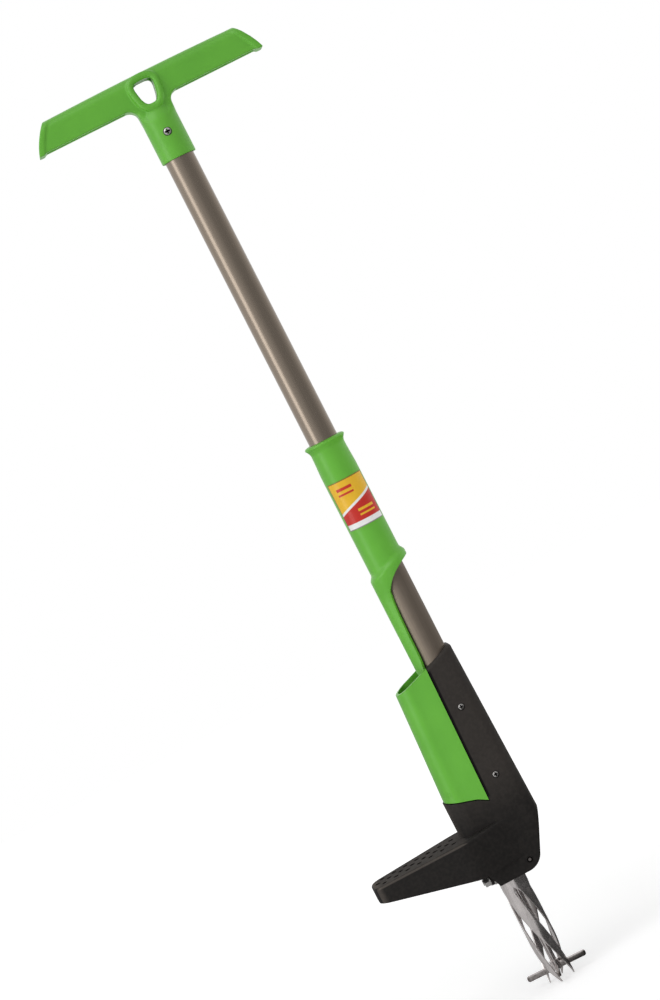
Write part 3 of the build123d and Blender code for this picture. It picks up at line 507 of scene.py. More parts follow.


# Foot: the pedal's nose, tread and half widths, the limits of dust, of painted shade in the dimples, of wear
# with painted highlight on edges and tip, of the painted highlight on the rear edge and of the lighter column,
# and the painted shadow line along the box
NOSE_X, NOSE_EDGE = -0.0583, 0.004
TREAD_LEVEL, TREAD_SLOPE = -0.8017, 0.0279
NOSE_HALF, TIP_HALF = 0.0335, 0.0190
DIMPLE_SHADE_SUNK, DIMPLE_SHADE_INSET = (0.0003, 0.0006), (0.0030, 0.0034)
TREAD_SUNK = (0.0002, 0.0008)
RUBBED_HIGHLIGHT_SUNK, RUBBED_HIGHLIGHT_INSET = (0.00045, 0.00225, 0.0003), (0.0015, 0.00225)
REAR_HIGHLIGHT, REAR_HIGHLIGHT_EDGE = (0.0024, 0.0006), 0.0007
TIP_WEAR_AND_HIGHLIGHT = (0.004, 0.010)
COLUMN_LIGHTER = (-0.808, -0.752)
SHADOW_LINE_X, SHADOW_LINE_Z, SHADOW_LINE_SLOPE = -0.0133, -0.635, 0.0242
SHADOW_LINE_WIDTH, SHADOW_LINE_HEIGHT = (-0.002, 0.0021, 0.0006), (-0.775, -0.638, 0.002)


def black_plastic(at, tones):
    """Spark-grained black moulding: a dusted tread with painted shade in its dimples, edges and pedal tip
    lightened as wear and as a painted highlight, a painted highlight along the hub's rear edge, a column
    lighter than the hub, and a painted shadow line beside the grip's box.
    """
    x, y, z = at.axes()
    grain = at.noise(1500.0, 3.0)
    patches = at.noise(45.0, 4.0)
    mottle = at.noise(330.0, 4.0).step(0.35, 0.70)
    ahead = 1.0 - x.step(NOSE_X, NOSE_X + NOSE_EDGE)
    out = (NOSE_X - x) / (NOSE_X - foot_low.x)
    inset = NOSE_HALF + out * (TIP_HALF - NOSE_HALF) - y.size()
    sunk = TREAD_LEVEL + (x - NOSE_X) * TREAD_SLOPE - z
    # Painted shade: the dimples darkened to near black
    dimple_shade = sunk.step(*DIMPLE_SHADE_SUNK) * inset.step(*DIMPLE_SHADE_INSET) * ahead
    tread = (1.0 - sunk.step(*TREAD_SUNK)) * ahead
    # Rounded tread edges lightened as wear and as a painted highlight
    rubbed_and_highlight = sunk.band(*RUBBED_HIGHLIGHT_SUNK) * (1.0 - inset.step(*RUBBED_HIGHLIGHT_INSET)) * ahead
    # Painted highlight along the hub's rear edge
    painted_highlight = x.band(*(foot_high.x - inside for inside in REAR_HIGHLIGHT), REAR_HIGHLIGHT_EDGE)
    # The pedal's tip lightened as wear and as a painted highlight on its rounded corner
    tip = 1.0 - x.step(*(foot_low.x + inside for inside in TIP_WEAR_AND_HIGHLIGHT))
    # Dust on the tread, and the painted highlights on the edges, the tip and the rear edge
    dust_and_highlight = tread * (0.10 + patches * 0.28) + rubbed_and_highlight * 0.50 + tip * 0.45 + painted_highlight * 0.22
    # The column above the hub lighter than the hub
    column = z.step(*COLUMN_LIGHTER) * 0.20
    lightening = dust_and_highlight * (0.55 + grain * 0.9) + column + mottle * 0.06 + patches * 0.05
    # Painted shadow line: the foot darkened in a band along its edge beside the grip's box
    from_shadow_line = x - SHADOW_LINE_X - (z - SHADOW_LINE_Z) * SHADOW_LINE_SLOPE
    shadow_line = from_shadow_line.band(*SHADOW_LINE_WIDTH) * z.band(*SHADOW_LINE_HEIGHT)
    base = (dimple_shade + shadow_line).mix(lightening.mix(tones.black, tones.warm_dark_grey), tones.black_painted_shade)
    return base, 0.56 + grain * 0.16 - patches * 0.06 + (shadow_line + tread) * 0.25, grain.bump(0.40, 0.00020)


def tine_steel(at, tones):
    """Bright pressed steel with rolling streaks and small dull patches."""
    streak = at.noise(420.0, 3.0, (1.0, 1.0, 0.10))
    patch = at.noise(95.0, 3.0).step(0.45, 0.75)
    base = (streak.step(0.35, 0.8) * 0.5 + patch * 0.3).mix(tones.steel, tones.steel_shade)
    return base, 0.18 + streak * 0.10 + patch * 0.12, streak.bump(0.08, 0.00008)


# Screws: levels between the foot's and the handle's, and the depths behind the fronts of their heads of the
# painted shade in the recesses and round the seats
BETWEEN_SCREWS = (-0.45, -0.35)
SCREW_SHADE = (0.0008, 0.0032, 0.0002)


def fastener_steel(at, tones):
    """Zinc plate with a little clouding, and painted shade in the recesses and round the seats of the heads."""
    x, y, z = at.axes()
    front = shell_screws_low.y + z.step(*BETWEEN_SCREWS) * (handle_screw_low.y - shell_screws_low.y)
    # Painted shade: the cross recesses and the rims round the heads' seats darkened to black
    recess_shade = (y - front).band(*SCREW_SHADE)
    cloud = at.noise(700.0, 3.0)
    base = recess_shade.mix(cloud.step(0.35, 0.8).mix(tones.zinc, tones.steel_shade), tones.black)
    return base, 0.22 + cloud * 0.14 + recess_shade * 0.3, cloud.bump(0.05, 0.00005)


# Radii over which the pin's ends darken to black: a ring of painted shade
PIN_SHADE_RING = (0.0012, 0.0019)


def pin_steel(at, tones):
    """Oiled dark pin with a ring of painted shade round the bright middle of its ends."""
    x, y, z = at.axes()
    from_x, from_z = x - (pin_low.x + pin_high.x) / 2, z - (pin_low.z + pin_high.z) / 2
    # Painted shade in a ring round the middle of the pin's ends
    rim = from_x.hypot(from_z).step(*PIN_SHADE_RING)
    cloud = at.noise(900.0, 3.0)
    base = rim.mix((0.40 + cloud * 0.35).mix(tones.steel_shade, tones.warm_dark_grey), tones.black)
    return base, 0.36 + cloud * 0.14, cloud.bump(0.06, 0.00005)


# Star: its cut ends, darkened as scale and as painted shade, and the painted highlight on the upper part of its
# sides
STAR_DARK_ENDS = (0.0034, 0.0006)
STAR_HIGHLIGHT_LOW, STAR_HIGHLIGHT_HIGH = 0.0042, 0.0006


def star_steel(at, tones):
    """Bar steel with dull scale, darkest at the cut ends as scale and as painted shade, with a painted
    highlight on the upper part of its sides.
    """
    x, y, z = at.axes()
    # Cut ends darkened as scale and as painted shade
    out = (x - tine_x).hypot(y).step(*(star_out - inside for inside in STAR_DARK_ENDS))
    streak = at.noise(420.0, 3.0)
    # Painted highlight: the upper part of the sides lighter
    painted_highlight = z.step(star_low.z + STAR_HIGHLIGHT_LOW, star_high.z - STAR_HIGHLIGHT_HIGH) * 0.6
    base = (0.15 + streak.step(0.35, 0.8) * 0.65).mix(tones.steel_shade, tones.warm_dark_grey)
    base = (out * 0.75).mix(painted_highlight.mix(base, tones.steel), tones.warm_dark_grey)
    return base, 0.20 + streak * 0.16, streak.bump(0.10, 0.00008)


def bush_plastic(at, tones):
    """Natural nylon."""
    cloud = at.noise(300.0, 2.0)
    base = cloud.mix(tones.nylon, tuple(0.9 * part for part in tones.nylon))
    return base, 0.40 + cloud * 0.1, cloud.bump(0.08, 0.00005)


# Label, in shares of its height and of half its width
PRINT_EDGE = 0.008
SLANT, SLANT_LINE, SLANT_LEVEL = 0.16, (0.47, 0.52), 0.50
RED_BARS, RED_REACH = ((0.80, 0.86), (0.70, 0.74)), (-0.62, 0.12)
GOLD_BARS, GOLD_REACH = ((0.30, 0.35), (0.21, 0.245)), (-0.10, 0.68)
WHITE_FOOT = 0.12
RIM_SIDES, RIM_ENDS = (0.93, 0.97), (0.018, 0.982, 0.006)


def label_film(at, tones):
    """Printed film without words: red and yellow parted by a white slant, bars, white foot, dark edge."""
    x, y, z = at.axes()
    across = at.maths("ARCTAN2", x, y * -1.0) / label_half
    height = (z - label_low.z) / (label_high.z - label_low.z)

    def bars(rows, reach):
        first, second = (height.band(*row, PRINT_EDGE) for row in rows)
        return (first + second) * across.band(*reach, PRINT_EDGE)

    slant = height - across * SLANT
    upper = slant.step(SLANT_LEVEL - PRINT_EDGE, SLANT_LEVEL + PRINT_EDGE)
    gold = upper * (1.0 - bars(RED_BARS, RED_REACH)) + bars(GOLD_BARS, GOLD_REACH)
    above_foot = height.step(WHITE_FOOT - PRINT_EDGE, WHITE_FOOT + PRINT_EDGE)
    white = slant.band(*SLANT_LINE, PRINT_EDGE) + (1.0 - above_foot)
    rim = 1.0 - (1.0 - across.size().step(*RIM_SIDES)) * height.band(*RIM_ENDS)
    inked = white.mix(gold.mix(tones.label_red, tones.label_yellow), tones.label_white)
    wear = at.noise(420.0, 3.0)
    return (rim * 0.75).mix(inked, tones.label_ink), 0.26 + wear * 0.10, wear.bump(0.04, 0.00003)


FINISHES = {
    "green_plastic": (green_plastic, {"IOR": 1.49, "Specular IOR Level": 0.50}),
    "tube_metal": (tube_metal, {"Metallic": 1.0}),
    "black_plastic": (black_plastic, {"IOR": 1.48, "Specular IOR Level": 0.21}),
    "tine_steel": (tine_steel, {"Metallic": 1.0}),
    "fastener_steel": (fastener_steel, {"Metallic": 1.0}),
    "pin_steel": (pin_steel, {"Metallic": 1.0}),
    "star_steel": (star_steel, {"Metallic": 1.0}),
    "bush_plastic": (bush_plastic, {"IOR": 1.52}),
    "label_film": (label_film, {"IOR": 1.5, "Specular IOR Level": 0.4}),
}


def material(name):
    """A finish by its name, made once."""
    full_name = name + "_finish"
    if full_name not in bpy.data.materials:
        return finish(full_name, *FINISHES[name])
    return bpy.data.materials[full_name]


# Handle

# Bar: the fall of its top, the swell of its ends, and the lips' width, height, drop and rate of swelling
CROWN, END_BULGE = 0.0013, 0.0020
LIP_WIDTH, LIP_PROUD, LIP_DROP, LIP_SWELL = 0.0085, 0.0014, 0.0015, 2.4
# Rim of the hole: half its width, half its thickness, the share of that sunk, and its lean out to the socket
RIM_WIDTH, RIM_PROUD, RIM_SINK = 0.0036, 0.0030, 0.2
RIM_LEAN, RIM_LEAN_TOP, RIM_LEAN_RUN = 0.0035, 0.004, 0.032
# Socket: the level at which it starts to draw in, and the radius between it and the bar
SHOULDER_LEVEL, NECK_FILLET = -0.0440, 0.0100
# Exponents that square off loops, and the union's cell and passes of softening
BLOCK_SQUARE, RIM_SQUARE = 0.25, 0.70
VOXEL, MELT_PASSES = 0.0008, 4


def arch(half, low, top, radius, steps=7):
    """Path in y and z up one side, over a top with two quarter-round shoulders, and down the other side."""
    t = np.linspace(0.0, np.pi / 2, steps)
    side = stacked(half, np.linspace(low, top - radius, steps, endpoint=False), 0.0)[:, :2]
    shoulder = np.stack([half - radius + radius * np.cos(t), top - radius + radius * np.sin(t)], axis=-1)
    right = np.concatenate([side, shoulder])
    return np.concatenate([right, right[::-1] * (-1.0, 1.0)])


def carried(section, start, end, stations=33):
    """Section in y and z carried along x from start(z) to end(z)."""
    y, z = section[:, 0], section[:, 1]
    share = np.linspace(0.0, 1.0, stations)[:, None]
    return stacked(start(z) * (1.0 - share) + end(z) * share, y, z)


def handle_patches(s):
    """Closed forms of the handle: on each side a solid block by the hole, an open channel and a lipped end; a
    bridge over the hole; a superelliptic neck and socket; and a bead round the hole on both faces."""

    def end_x(z):
        share = (z - s.bar_low) / (s.bar_top - s.bar_low)
        bulge = END_BULGE * np.clip(4.0 * share * (1.0 - share), 0.0, 1.0)
        return s.bar_low_half + share * (s.bar_top_half - s.bar_low_half) + bulge

    full = arch(s.bar_half_depth, s.bar_low, s.bar_top, s.shoulder)
    thick = 2.0 * s.wall
    inner = arch(s.bar_half_depth - thick, s.bar_low, s.bar_top - s.wall, s.shoulder - thick)
    channel = np.concatenate([full, inner[::-1]])
    bridge = arch(s.bar_half_depth, 0.0, s.bar_top, s.shoulder)
    block_end = s.socket_radius + NECK_FILLET
    parts = []
    for sign in (-1.0, 1.0):
        runs = [
            carried(full, lambda z: hole_x(s, z), lambda z: 0 * z + block_end),
            carried(channel, lambda z: 0 * z + block_end - s.wall, lambda z: end_x(z) - s.wall),
            lipped(carried(full, lambda z: end_x(z) - LIP_WIDTH, end_x), s),
        ]
        parts += [run * (sign, 1.0, 1.0) for run in runs]
    half_bridge = s.hole_top_half + RIM_WIDTH
    parts.append(carried(bridge, lambda z: 0 * z - half_bridge, lambda z: 0 * z + half_bridge))
    for run in parts:
        fall = CROWN * (run[..., 0] / s.bar_top_half) ** 2
        run[..., 2] -= fall * np.clip((run[..., 2] - s.bar_low) / (s.bar_top - s.bar_low), 0.0, 1.0)
    grids = parts + [web_grid(s), socket_grid(s)] + [beside_grid(s, sign) for sign in (-1.0, 1.0)]
    return [solid(grid) for grid in grids] + [torus(rim_grid(s, face)) for face in (-1.0, 1.0)]


def lipped(run, s):
    """Run that swells to both sides and sinks below by a smooth step over the first part of its length."""
    swell = ease(np.linspace(0.0, LIP_SWELL, len(run))[:, None])
    y, z = run[..., 1], run[..., 2]
    sunk = z - swell * LIP_DROP * (s.bar_top - z) / (s.bar_top - s.bar_low)
    return stacked(run[..., 0], y * (1.0 + swell * LIP_PROUD / s.bar_half_depth), sunk)


def hole_x(s, z):
    """Half width of the hang hole at a level."""
    share = np.clip(-z / s.hole_height, 0.0, 1.0)
    return s.hole_top_half + share * (s.hole_low_half - s.hole_top_half)


def neck_half(s, z):
    """Half width of the neck: the socket's, swept out under the bar by a quarter round."""
    rise = np.clip(z - s.bar_low + NECK_FILLET, 0.0, NECK_FILLET)
    return s.socket_radius + NECK_FILLET - np.sqrt(NECK_FILLET**2 - rise**2)


def web_grid(s):
    """Loops up z under the hole: an ellipse inside the socket that squares off and flattens to the bar."""
    levels = np.linspace(SHOULDER_LEVEL - s.wall, -s.hole_height, 30)[:, None]
    flat = ease((levels - SHOULDER_LEVEL) / (s.bar_low - NECK_FILLET - SHOULDER_LEVEL))
    power = 1.0 - (1.0 - BLOCK_SQUARE) * flat
    half_y = s.socket_radius - flat * (s.socket_radius - s.bar_half_depth)
    return loops(neck_half(s, levels), half_y, levels, power=power)


def beside_grid(s, sign):
    """Squared loops up z beside the foot of the hang hole, from its edge out to the neck's sweep."""
    levels = np.linspace(-s.hole_height - s.wall / 3, s.bar_low + s.wall, 14)[:, None]
    inner, outer = sign * hole_x(s, levels), sign * neck_half(s, levels)
    middle, half = (outer + inner) / 2, (outer - inner) / 2
    return loops(half, s.bar_half_depth, levels, middle, BLOCK_SQUARE, ROUND // 2)


def socket_grid(s):
    """Cup of ellipses along z: down the bore, round the mouth, up the round socket, then drawn in by a smooth
    step to the width and depth of the rim under the hole."""
    mouth = handle_low.z
    bore = np.linspace(tube_high.z - s.wall, mouth, 20)[:, None]
    wall = np.linspace(mouth, SHOULDER_LEVEL, 20, endpoint=False)[:, None]
    neck = np.linspace(SHOULDER_LEVEL, -s.hole_height, 16)[:, None]
    draw = ease((neck - SHOULDER_LEVEL) / (-s.hole_height - SHOULDER_LEVEL))
    neck_x = s.socket_radius - draw * (s.socket_radius - s.hole_low_half - 2 * RIM_WIDTH)
    neck_y = s.socket_radius - draw * (s.socket_radius - s.bar_half_depth - RIM_PROUD)
    below = [0 * bore + s.socket_bore, 0 * wall + s.socket_radius]
    half_x, half_y = np.concatenate([*below, neck_x]), np.concatenate([*below, neck_y])
    return loops(half_x, half_y, np.concatenate([bore, wall, neck]))


def rim_grid(s, face):
    """Flattened tube round the hang hole's squared outline, further out where it runs into the socket."""
    a = turn(ROUND)[:, None]
    up = squared(np.sin(a), RIM_SQUARE)
    half_height = s.hole_height / 2 + RIM_WIDTH
    middle = s.hole_low_half + (up + 1) / 2 * (s.hole_top_half - s.hole_low_half)
    path_x = (middle + RIM_WIDTH) * squared(np.cos(a), RIM_SQUARE)
    path_z = -s.hole_height / 2 + half_height * up
    run = np.concatenate([np.roll(path, -1) - np.roll(path, 1) for path in (path_x, path_z)], axis=1)
    run /= np.linalg.norm(run, axis=1, keepdims=True)
    out_x, out_z = run[:, 1:], -run[:, :1]
    lean = RIM_LEAN * ease((RIM_LEAN_TOP - path_z) / RIM_LEAN_RUN)
    centre_y = s.bar_half_depth - RIM_SINK * RIM_PROUD + lean
    b = turn(18)[None]
    wide = RIM_WIDTH * np.cos(b)
    y = face * (centre_y + RIM_PROUD * np.sin(b))
    return stacked(path_x + out_x * wide, y, path_z + out_z * wide)


class WEED_PULLER_OT_handle(bpy.types.Operator):
    """Make the moulded T-handle"""

    bl_idname = "weed_puller.handle"
    bl_label = "T-handle"

    def execute(self, context):
        obj = make_object("handle_moulding", handle_patches(settings().handle))
        melted(obj, VOXEL, MELT_PASSES)
        dress(obj, "frame", "green_plastic", "t_handle")
        return {"FINISHED"}


# Grip

# Cut-out's edge in side view: places in x, and depths below the lip's crest
CUT_EDGE = (
    (0.0056, 0.0082), (-0.0062, 0.0137), (-0.0095, 0.0220), (-0.0113, 0.0330), (-0.0131, 0.0500),
    (-0.0141, 0.0780), (-0.0145, 0.1010), (-0.0159, 0.1100), (-0.0163, 0.1230), (-0.0177, 0.1750),
    (-0.0198, 0.2515),
)
# Flange: height of its rim, fall of its domed top, power of its flare, and the waist's depth and height below
FLANGE_RIM, FLANGE_DOME, FLARE_POWER = 0.0029, 0.0022, 1.9
WAIST, WAIST_HEIGHT = 0.0009, 0.0260
# Skirt: fall of its crest from back to front, depth of the lip, and heights of its rows, tilt and inner step
SKIRT_FALL, LIP_DEPTH = 0.0155, 0.0030
SKIRT_ROWS, TILT_RUN, UNDER_RUN = 0.030, 0.045, 0.004
# Strip: wall, foot, and the share by which it narrows to hug the tube, below the lip and above the box
STRIP_WALL, STRIP_FOOT, STRIP_HUG = 0.0030, -0.7740, 0.30
HUG_START, HUG_RUN = 0.0050, 0.0340
HUG_LOW, HUG_RETURN = -0.6460, 0.0140
# Box: the foot's ledge in side view, the gap above it, the crease, the sides' rear edges and the rear walls
LEDGE_X = (-0.0583, -0.0273, -0.0168)
LEDGE_Z = (-0.7640, -0.7735, -0.7795)
LEDGE_GAP = 0.0012
BOX_CREASE, CREASE_FRONT, CREASE_REAR = 0.0012, 0.0045, 0.0120
BOX_REAR_TOP, BOX_REAR_LOW = -0.0142, -0.0175
RETURN_INNER, RETURN_INSET = 0.0105, 0.0002
# Floor: gap to the box's front, cut at its corners, thickness and the rod's hole; then the rounded edges
FLOOR_FRONT, FLOOR_CORNER, FLOOR_WALL, ROD_HOLE = 0.002, 0.011, 0.0040, 0.0032
EDGE, SHARP_FROM = 0.0011, 40.0


def grip_cut(s):
    """Side view of the cut-out's edge in x and z, from the rear lip down along the strip to the ledge."""
    points = [(s.skirt_radius, LIP_DEPTH), *CUT_EDGE]
    return smooth_path([(x, s.lip_level - below) for x, below in points], 12)


def crest_level(s, x):
    """Level of the skirt's tilted plane above its crest."""
    tilt = SKIRT_FALL / (2 * s.sleeve_radius)
    return s.lip_level - SKIRT_FALL / 2 + s.skirt_height + tilt * x + LIP_DEPTH / 3


def sleeve_rows(s):
    """Rows of the wrapped sheet from the flange down: the angle to each side of the front, the levels at the
    front and at the ends, and the number of the last row of the closed sleeve."""
    top = s.sleeve_top
    flare_top, flare_foot = top - FLANGE_RIM, top - FLANGE_RIM - s.flange_height
    skirt_top = s.lip_level + SKIRT_ROWS
    knots = np.concatenate([
        top - FLANGE_DOME * np.linspace(0.0, 1.0, 12, endpoint=False) ** 2,
        np.linspace(top - FLANGE_DOME, flare_top, 4, endpoint=False),
        np.linspace(flare_top, flare_foot, 14, endpoint=False),
        np.linspace(flare_foot, skirt_top, 20, endpoint=False),
        np.linspace(skirt_top, s.lip_level - LIP_DEPTH, 28),
    ])
    tilt = SKIRT_FALL * ease((s.lip_level + TILT_RUN - knots) / TILT_RUN)
    cut = grip_cut(s)[1:]
    to_edge = np.pi - np.arccos(np.clip(cut[:, 0] / s.skirt_radius, -1, 1))
    reach = np.concatenate([np.full(len(knots), np.pi), to_edge])
    edge = np.concatenate([knots, cut[:, 1]])
    share = np.linspace(0.0, 1.0, len(cut) + 1)[1:]
    start = knots[-1] - tilt[-1]
    front = np.concatenate([knots - tilt, start + share * (STRIP_FOOT - start)])
    return reach[:, None], front[:, None], edge[:, None], len(knots) - 1


def sleeve_grids(s):
    """Sheet wrapped round the tube's axis. A row spans an angle to each side of the front: a full turn in the
    sleeve, whose ends meet behind, then only to the cut-out's edge. Its level runs from the front's to the
    edge's with 1 - cos of the angle. The radius draws in to a waist under a flange that flares as a power of
    the height and has a quarter-elliptic top, and widens again to a tilted skirt. Below it the strip narrows
    to hug the tube."""
    reach, front, edge, split = sleeve_rows(s)
    from_front = reach * np.linspace(-1.0, 1.0, 113)[None]
    z = front + (edge - front) * ((1.0 - np.cos(from_front)) / (1.0 - np.cos(reach)))
    hug = ease((s.lip_level - HUG_START - z) / HUG_RUN) * ease((z - HUG_LOW) / HUG_RETURN)
    x_share, y_share = -np.cos(from_front), np.sin(from_front) * (1.0 - STRIP_HUG * hug)
    flare_foot = s.sleeve_top - FLANGE_RIM - s.flange_height
    flange = np.clip((z - flare_foot) / s.flange_height, 0.0, 1.0) ** FLARE_POWER
    waist = WAIST * (1.0 - ease((flare_foot - z) / WAIST_HEIGHT))
    below = crest_level(s, s.sleeve_radius * x_share) - z
    skirt = ease(below / s.skirt_height)
    swell = (s.flange_proud + waist) * flange + (s.skirt_radius - s.sleeve_radius) * skirt
    outer_r = s.sleeve_radius - waist + swell
    start_r = s.bore_radius + EDGE
    depth = np.clip((s.sleeve_top - z) / FLANGE_DOME, 0.0, 1.0)
    outer_r = start_r + (outer_r - start_r) * np.sqrt(1.0 - (1.0 - depth) ** 2)
    under = ease((below - s.skirt_height) / UNDER_RUN)
    inner_r = s.bore_radius + (s.skirt_radius - STRIP_WALL - s.bore_radius) * under
    clear = np.maximum(1.0, s.bore_radius / np.hypot(inner_r * x_share, inner_r * y_share))
    return [stacked(r * x_share, r * y_share, z) for r in (outer_r, inner_r * clear)], split


def box_rear(v):
    """Rear edge of the box's side walls at a share v of its height."""
    return BOX_REAR_LOW + v * (BOX_REAR_TOP - BOX_REAR_LOW)


def box_levels(s, x, v):
    """Level at a place x and a share v of the height, from just above the foot's ledge to the sloping rim."""
    rim_x = s.box_front_low + s.box_lean
    rim = s.box_top + s.rim_rise * (x - rim_x) / (-s.skirt_radius - rim_x)
    foot = LEDGE_GAP + np.interp(x, LEDGE_X, LEDGE_Z)
    return foot + v * (rim - foot)


def box_grid(s, inset):
    """U-shaped wall from ledge to rim: sides with a soft crease, quarter-round corners, leaning front."""
    t = np.linspace(0.0, 1.0, 26)
    a = np.linspace(0.0, np.pi / 2, 18)[1:]
    side = np.concatenate([t, np.ones(len(a))])
    corner = np.concatenate([np.zeros(len(t)), a])
    front = np.linspace(0.0, 1.0, 5)[1:-1]
    radius = s.box_round - inset
    half = s.box_half - inset
    v = np.linspace(0.0, 1.0, 42)[:, None]
    front_x = s.box_front_low + s.box_lean * v + inset
    rear_x = box_rear(v)
    arm_x = rear_x + side * (front_x + radius - rear_x) - radius * np.sin(corner)
    from_crease = arm_x - front_x - radius
    spread = np.where(from_crease < 0.0, CREASE_FRONT, CREASE_REAR)
    crease = BOX_CREASE * np.exp(-((from_crease / spread) ** 2))
    arm_y = -half + radius * (1.0 - np.cos(corner)) + crease
    nose_y = np.broadcast_to(-(half - radius) * (1.0 - 2.0 * front), (len(v), len(front)))
    nose_x = np.broadcast_to(front_x, nose_y.shape)
    x = np.concatenate([arm_x, nose_x, arm_x[:, ::-1]], axis=1)
    y = np.concatenate([arm_y, nose_y, -arm_y[:, ::-1]], axis=1)
    return stacked(x, y, box_levels(s, x, v))


def return_grid(s, sign):
    """Square loops up z that close the box between the strip's edge and the rear of a side wall."""
    v = np.linspace(0.0, 1.0, 20)[:, None]
    x = box_rear(v) - np.array([RETURN_INSET, RETURN_INSET, s.box_wall, s.box_wall])
    outer = s.box_half - s.box_wall / 2
    y = sign * np.array([RETURN_INNER, outer, outer, RETURN_INNER])
    return stacked(x, y, box_levels(s, x, v))


def floor_grid(s):
    """Plate across the box between its front and the strip: loops that spread from the rod's hole to the
    outline along the top, and draw in again along the underside."""
    y = np.linspace(-1.0, 1.0, 31) * (s.box_half - s.box_wall)
    front = s.box_front_low + FLOOR_FRONT + FLOOR_CORNER * (np.abs(y) / s.box_half) ** 4
    back = np.minimum(-np.sqrt((s.skirt_radius - STRIP_WALL / 2) ** 2 - y**2), BOX_REAR_LOW)
    side = np.linspace(front[-1], back[-1], 14)[1:-1]
    outline_x = np.concatenate([front, side, back[::-1], side[::-1]])
    outline_y = np.concatenate([y, 0 * side + y[-1], y[::-1], 0 * side + y[0]])
    a = np.arctan2(outline_y, outline_x - tine_x)
    rod_x, rod_y = tine_x + ROD_HOLE * np.cos(a), ROD_HOLE * np.sin(a)
    spread = np.linspace(0.0, 1.0, 12)
    share = np.concatenate([spread, spread[::-1]])[:, None]
    level = np.repeat([s.floor_level, s.floor_level - FLOOR_WALL], len(spread))[:, None]
    return stacked(rod_x + share * (outline_x - rod_x), rod_y + share * (outline_y - rod_y), level)


class WEED_PULLER_OT_grip(bpy.types.Operator):
    """Make the sliding grip: sleeve, strip and box"""

    bl_idname = "weed_puller.grip"
    bl_label = "Sliding grip"

    def execute(self, context):
        s = settings().grip
        (outer, inner), split = sleeve_grids(s)
        patches = shell(outer, inner, split)
        patches += shell(box_grid(s, 0.0), box_grid(s, s.box_wall))
        patches += [torus(floor_grid(s))] + [solid(return_grid(s, sign)) for sign in (-1.0, 1.0)]
        obj = make_object("grip_moulding", patches)
        rounded(obj, EDGE, SHARP_FROM)
        dress(obj, "grip", "green_plastic", "slider_grip")
        return {"FINISHED"}


# Tube, screws and label

TUBE_WALL, TUBE_BURR = 0.0015, 0.0003
LABEL_FILM = 0.00022
# Screws: dome of the head, the shank's point, and the cross recess in shares of the head's radius
DOME_FALL, DOME_POWER = 0.5, 2.5
POINT_HEIGHT, POINT_SHARE = 0.0008, 0.6
CROSS_HALF, CROSS_REACH, CROSS_SOFT = 0.22, 0.64, 0.08


class WEED_PULLER_OT_tube(bpy.types.Operator):
    """Make the drawn tube with its deburred ends"""

    bl_idname = "weed_puller.tube"
    bl_label = "Tube"

    def execute(self, context):
        outer, bore = tube_high.x, tube_high.x - TUBE_WALL
        low, high = tube_low.z, tube_high.z
        levels = np.linspace(low + TUBE_BURR, high - TUBE_BURR, 60)
        profile = [(outer, level) for level in levels]
        profile += [(outer - TUBE_BURR, high), (bore + TUBE_BURR, high)]
        profile += [(bore, level) for level in levels[::-1]]
        profile += [(bore + TUBE_BURR, low), (outer - TUBE_BURR, low)]
        radius, level = np.array(profile).T[:, :, None]
        tube = torus(loops(radius, radius, level))
        smooth_piece("drawn_tube", [tube], "frame", "tube_metal", "shaft_tube", sharp_from=30.0)
        return {"FINISHED"}


def screw_grid(s, centre, seat, end, head_radius, shank_radius):
    """Profile turned about an axis along y: a head whose dome falls as a power of the radius, pressed in by a
    cross with soft sides, its rim and seat, then the shank with a blunt point."""
    share = np.linspace(0.002, 1.0, 34)
    dome = s.head_height * (1.0 - DOME_FALL * share**DOME_POWER)
    shank = [head_radius, shank_radius, shank_radius, POINT_SHARE * shank_radius]
    radius = np.concatenate([share * head_radius, shank])
    rise = np.concatenate([dome, [0.0, 0.0, seat - end + POINT_HEIGHT, seat - end]])
    a = turn(ROUND)[None]
    across, up = radius[:, None] * np.cos(a), radius[:, None] * np.sin(a)
    wide, narrow = np.maximum(np.abs(across), np.abs(up)), np.minimum(np.abs(across), np.abs(up))
    soft = CROSS_SOFT * head_radius
    cross = ease((CROSS_HALF * head_radius - narrow) / soft) * ease((CROSS_REACH * head_radius - wide) / soft)
    pressed = np.where(np.arange(len(radius)) < len(share), s.recess_depth, 0.0)[:, None] * cross
    return stacked(centre[0] + across, seat - rise[:, None] + pressed, centre[1] + up)


class WEED_PULLER_OT_screws(bpy.types.Operator):
    """Make the pan-head screws of the handle and the foot"""

    bl_idname = "weed_puller.screws"
    bl_label = "Screws"

    def execute(self, context):
        s = settings().fasteners
        for name, node, shank in (
            ("handle_pan_screw", "handle_screw", s.handle_shank),
            ("shell_pan_screws", "shell_screws", s.shell_shank),
        ):
            low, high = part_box(node)
            head = (high.x - low.x) / 2
            levels = sorted({round(low.z + head, 6), round(high.z - head, 6)})
            seat = low.y + s.head_height
            grids = [screw_grid(s, (low.x + head, level), seat, high.y, head, shank) for level in levels]
            screws = [solid(grid) for grid in grids]
            smooth_piece(name, screws, "frame", "fastener_steel", node, sharp_from=50.0)
        return {"FINISHED"}


class WEED_PULLER_OT_label(bpy.types.Operator):
    """Make the plain printed label on the sleeve"""

    bl_idname = "weed_puller.label"
    bl_label = "Label"

    def execute(self, context):
        radius = -label_low.y
        a = np.linspace(-label_half, label_half, 61)[None]
        z = np.linspace(label_high.z, label_low.z, 40)[:, None]
        grids = [stacked(r * np.sin(a), -r * np.cos(a), z) for r in (radius, radius - LABEL_FILM)]
        smooth_piece("sleeve_label", shell(*grids), "grip", "label_film", "label", sharp_from=40.0)
        return {"FINISHED"}


# Tines and ejector

MILLIMETRES = 1000.0
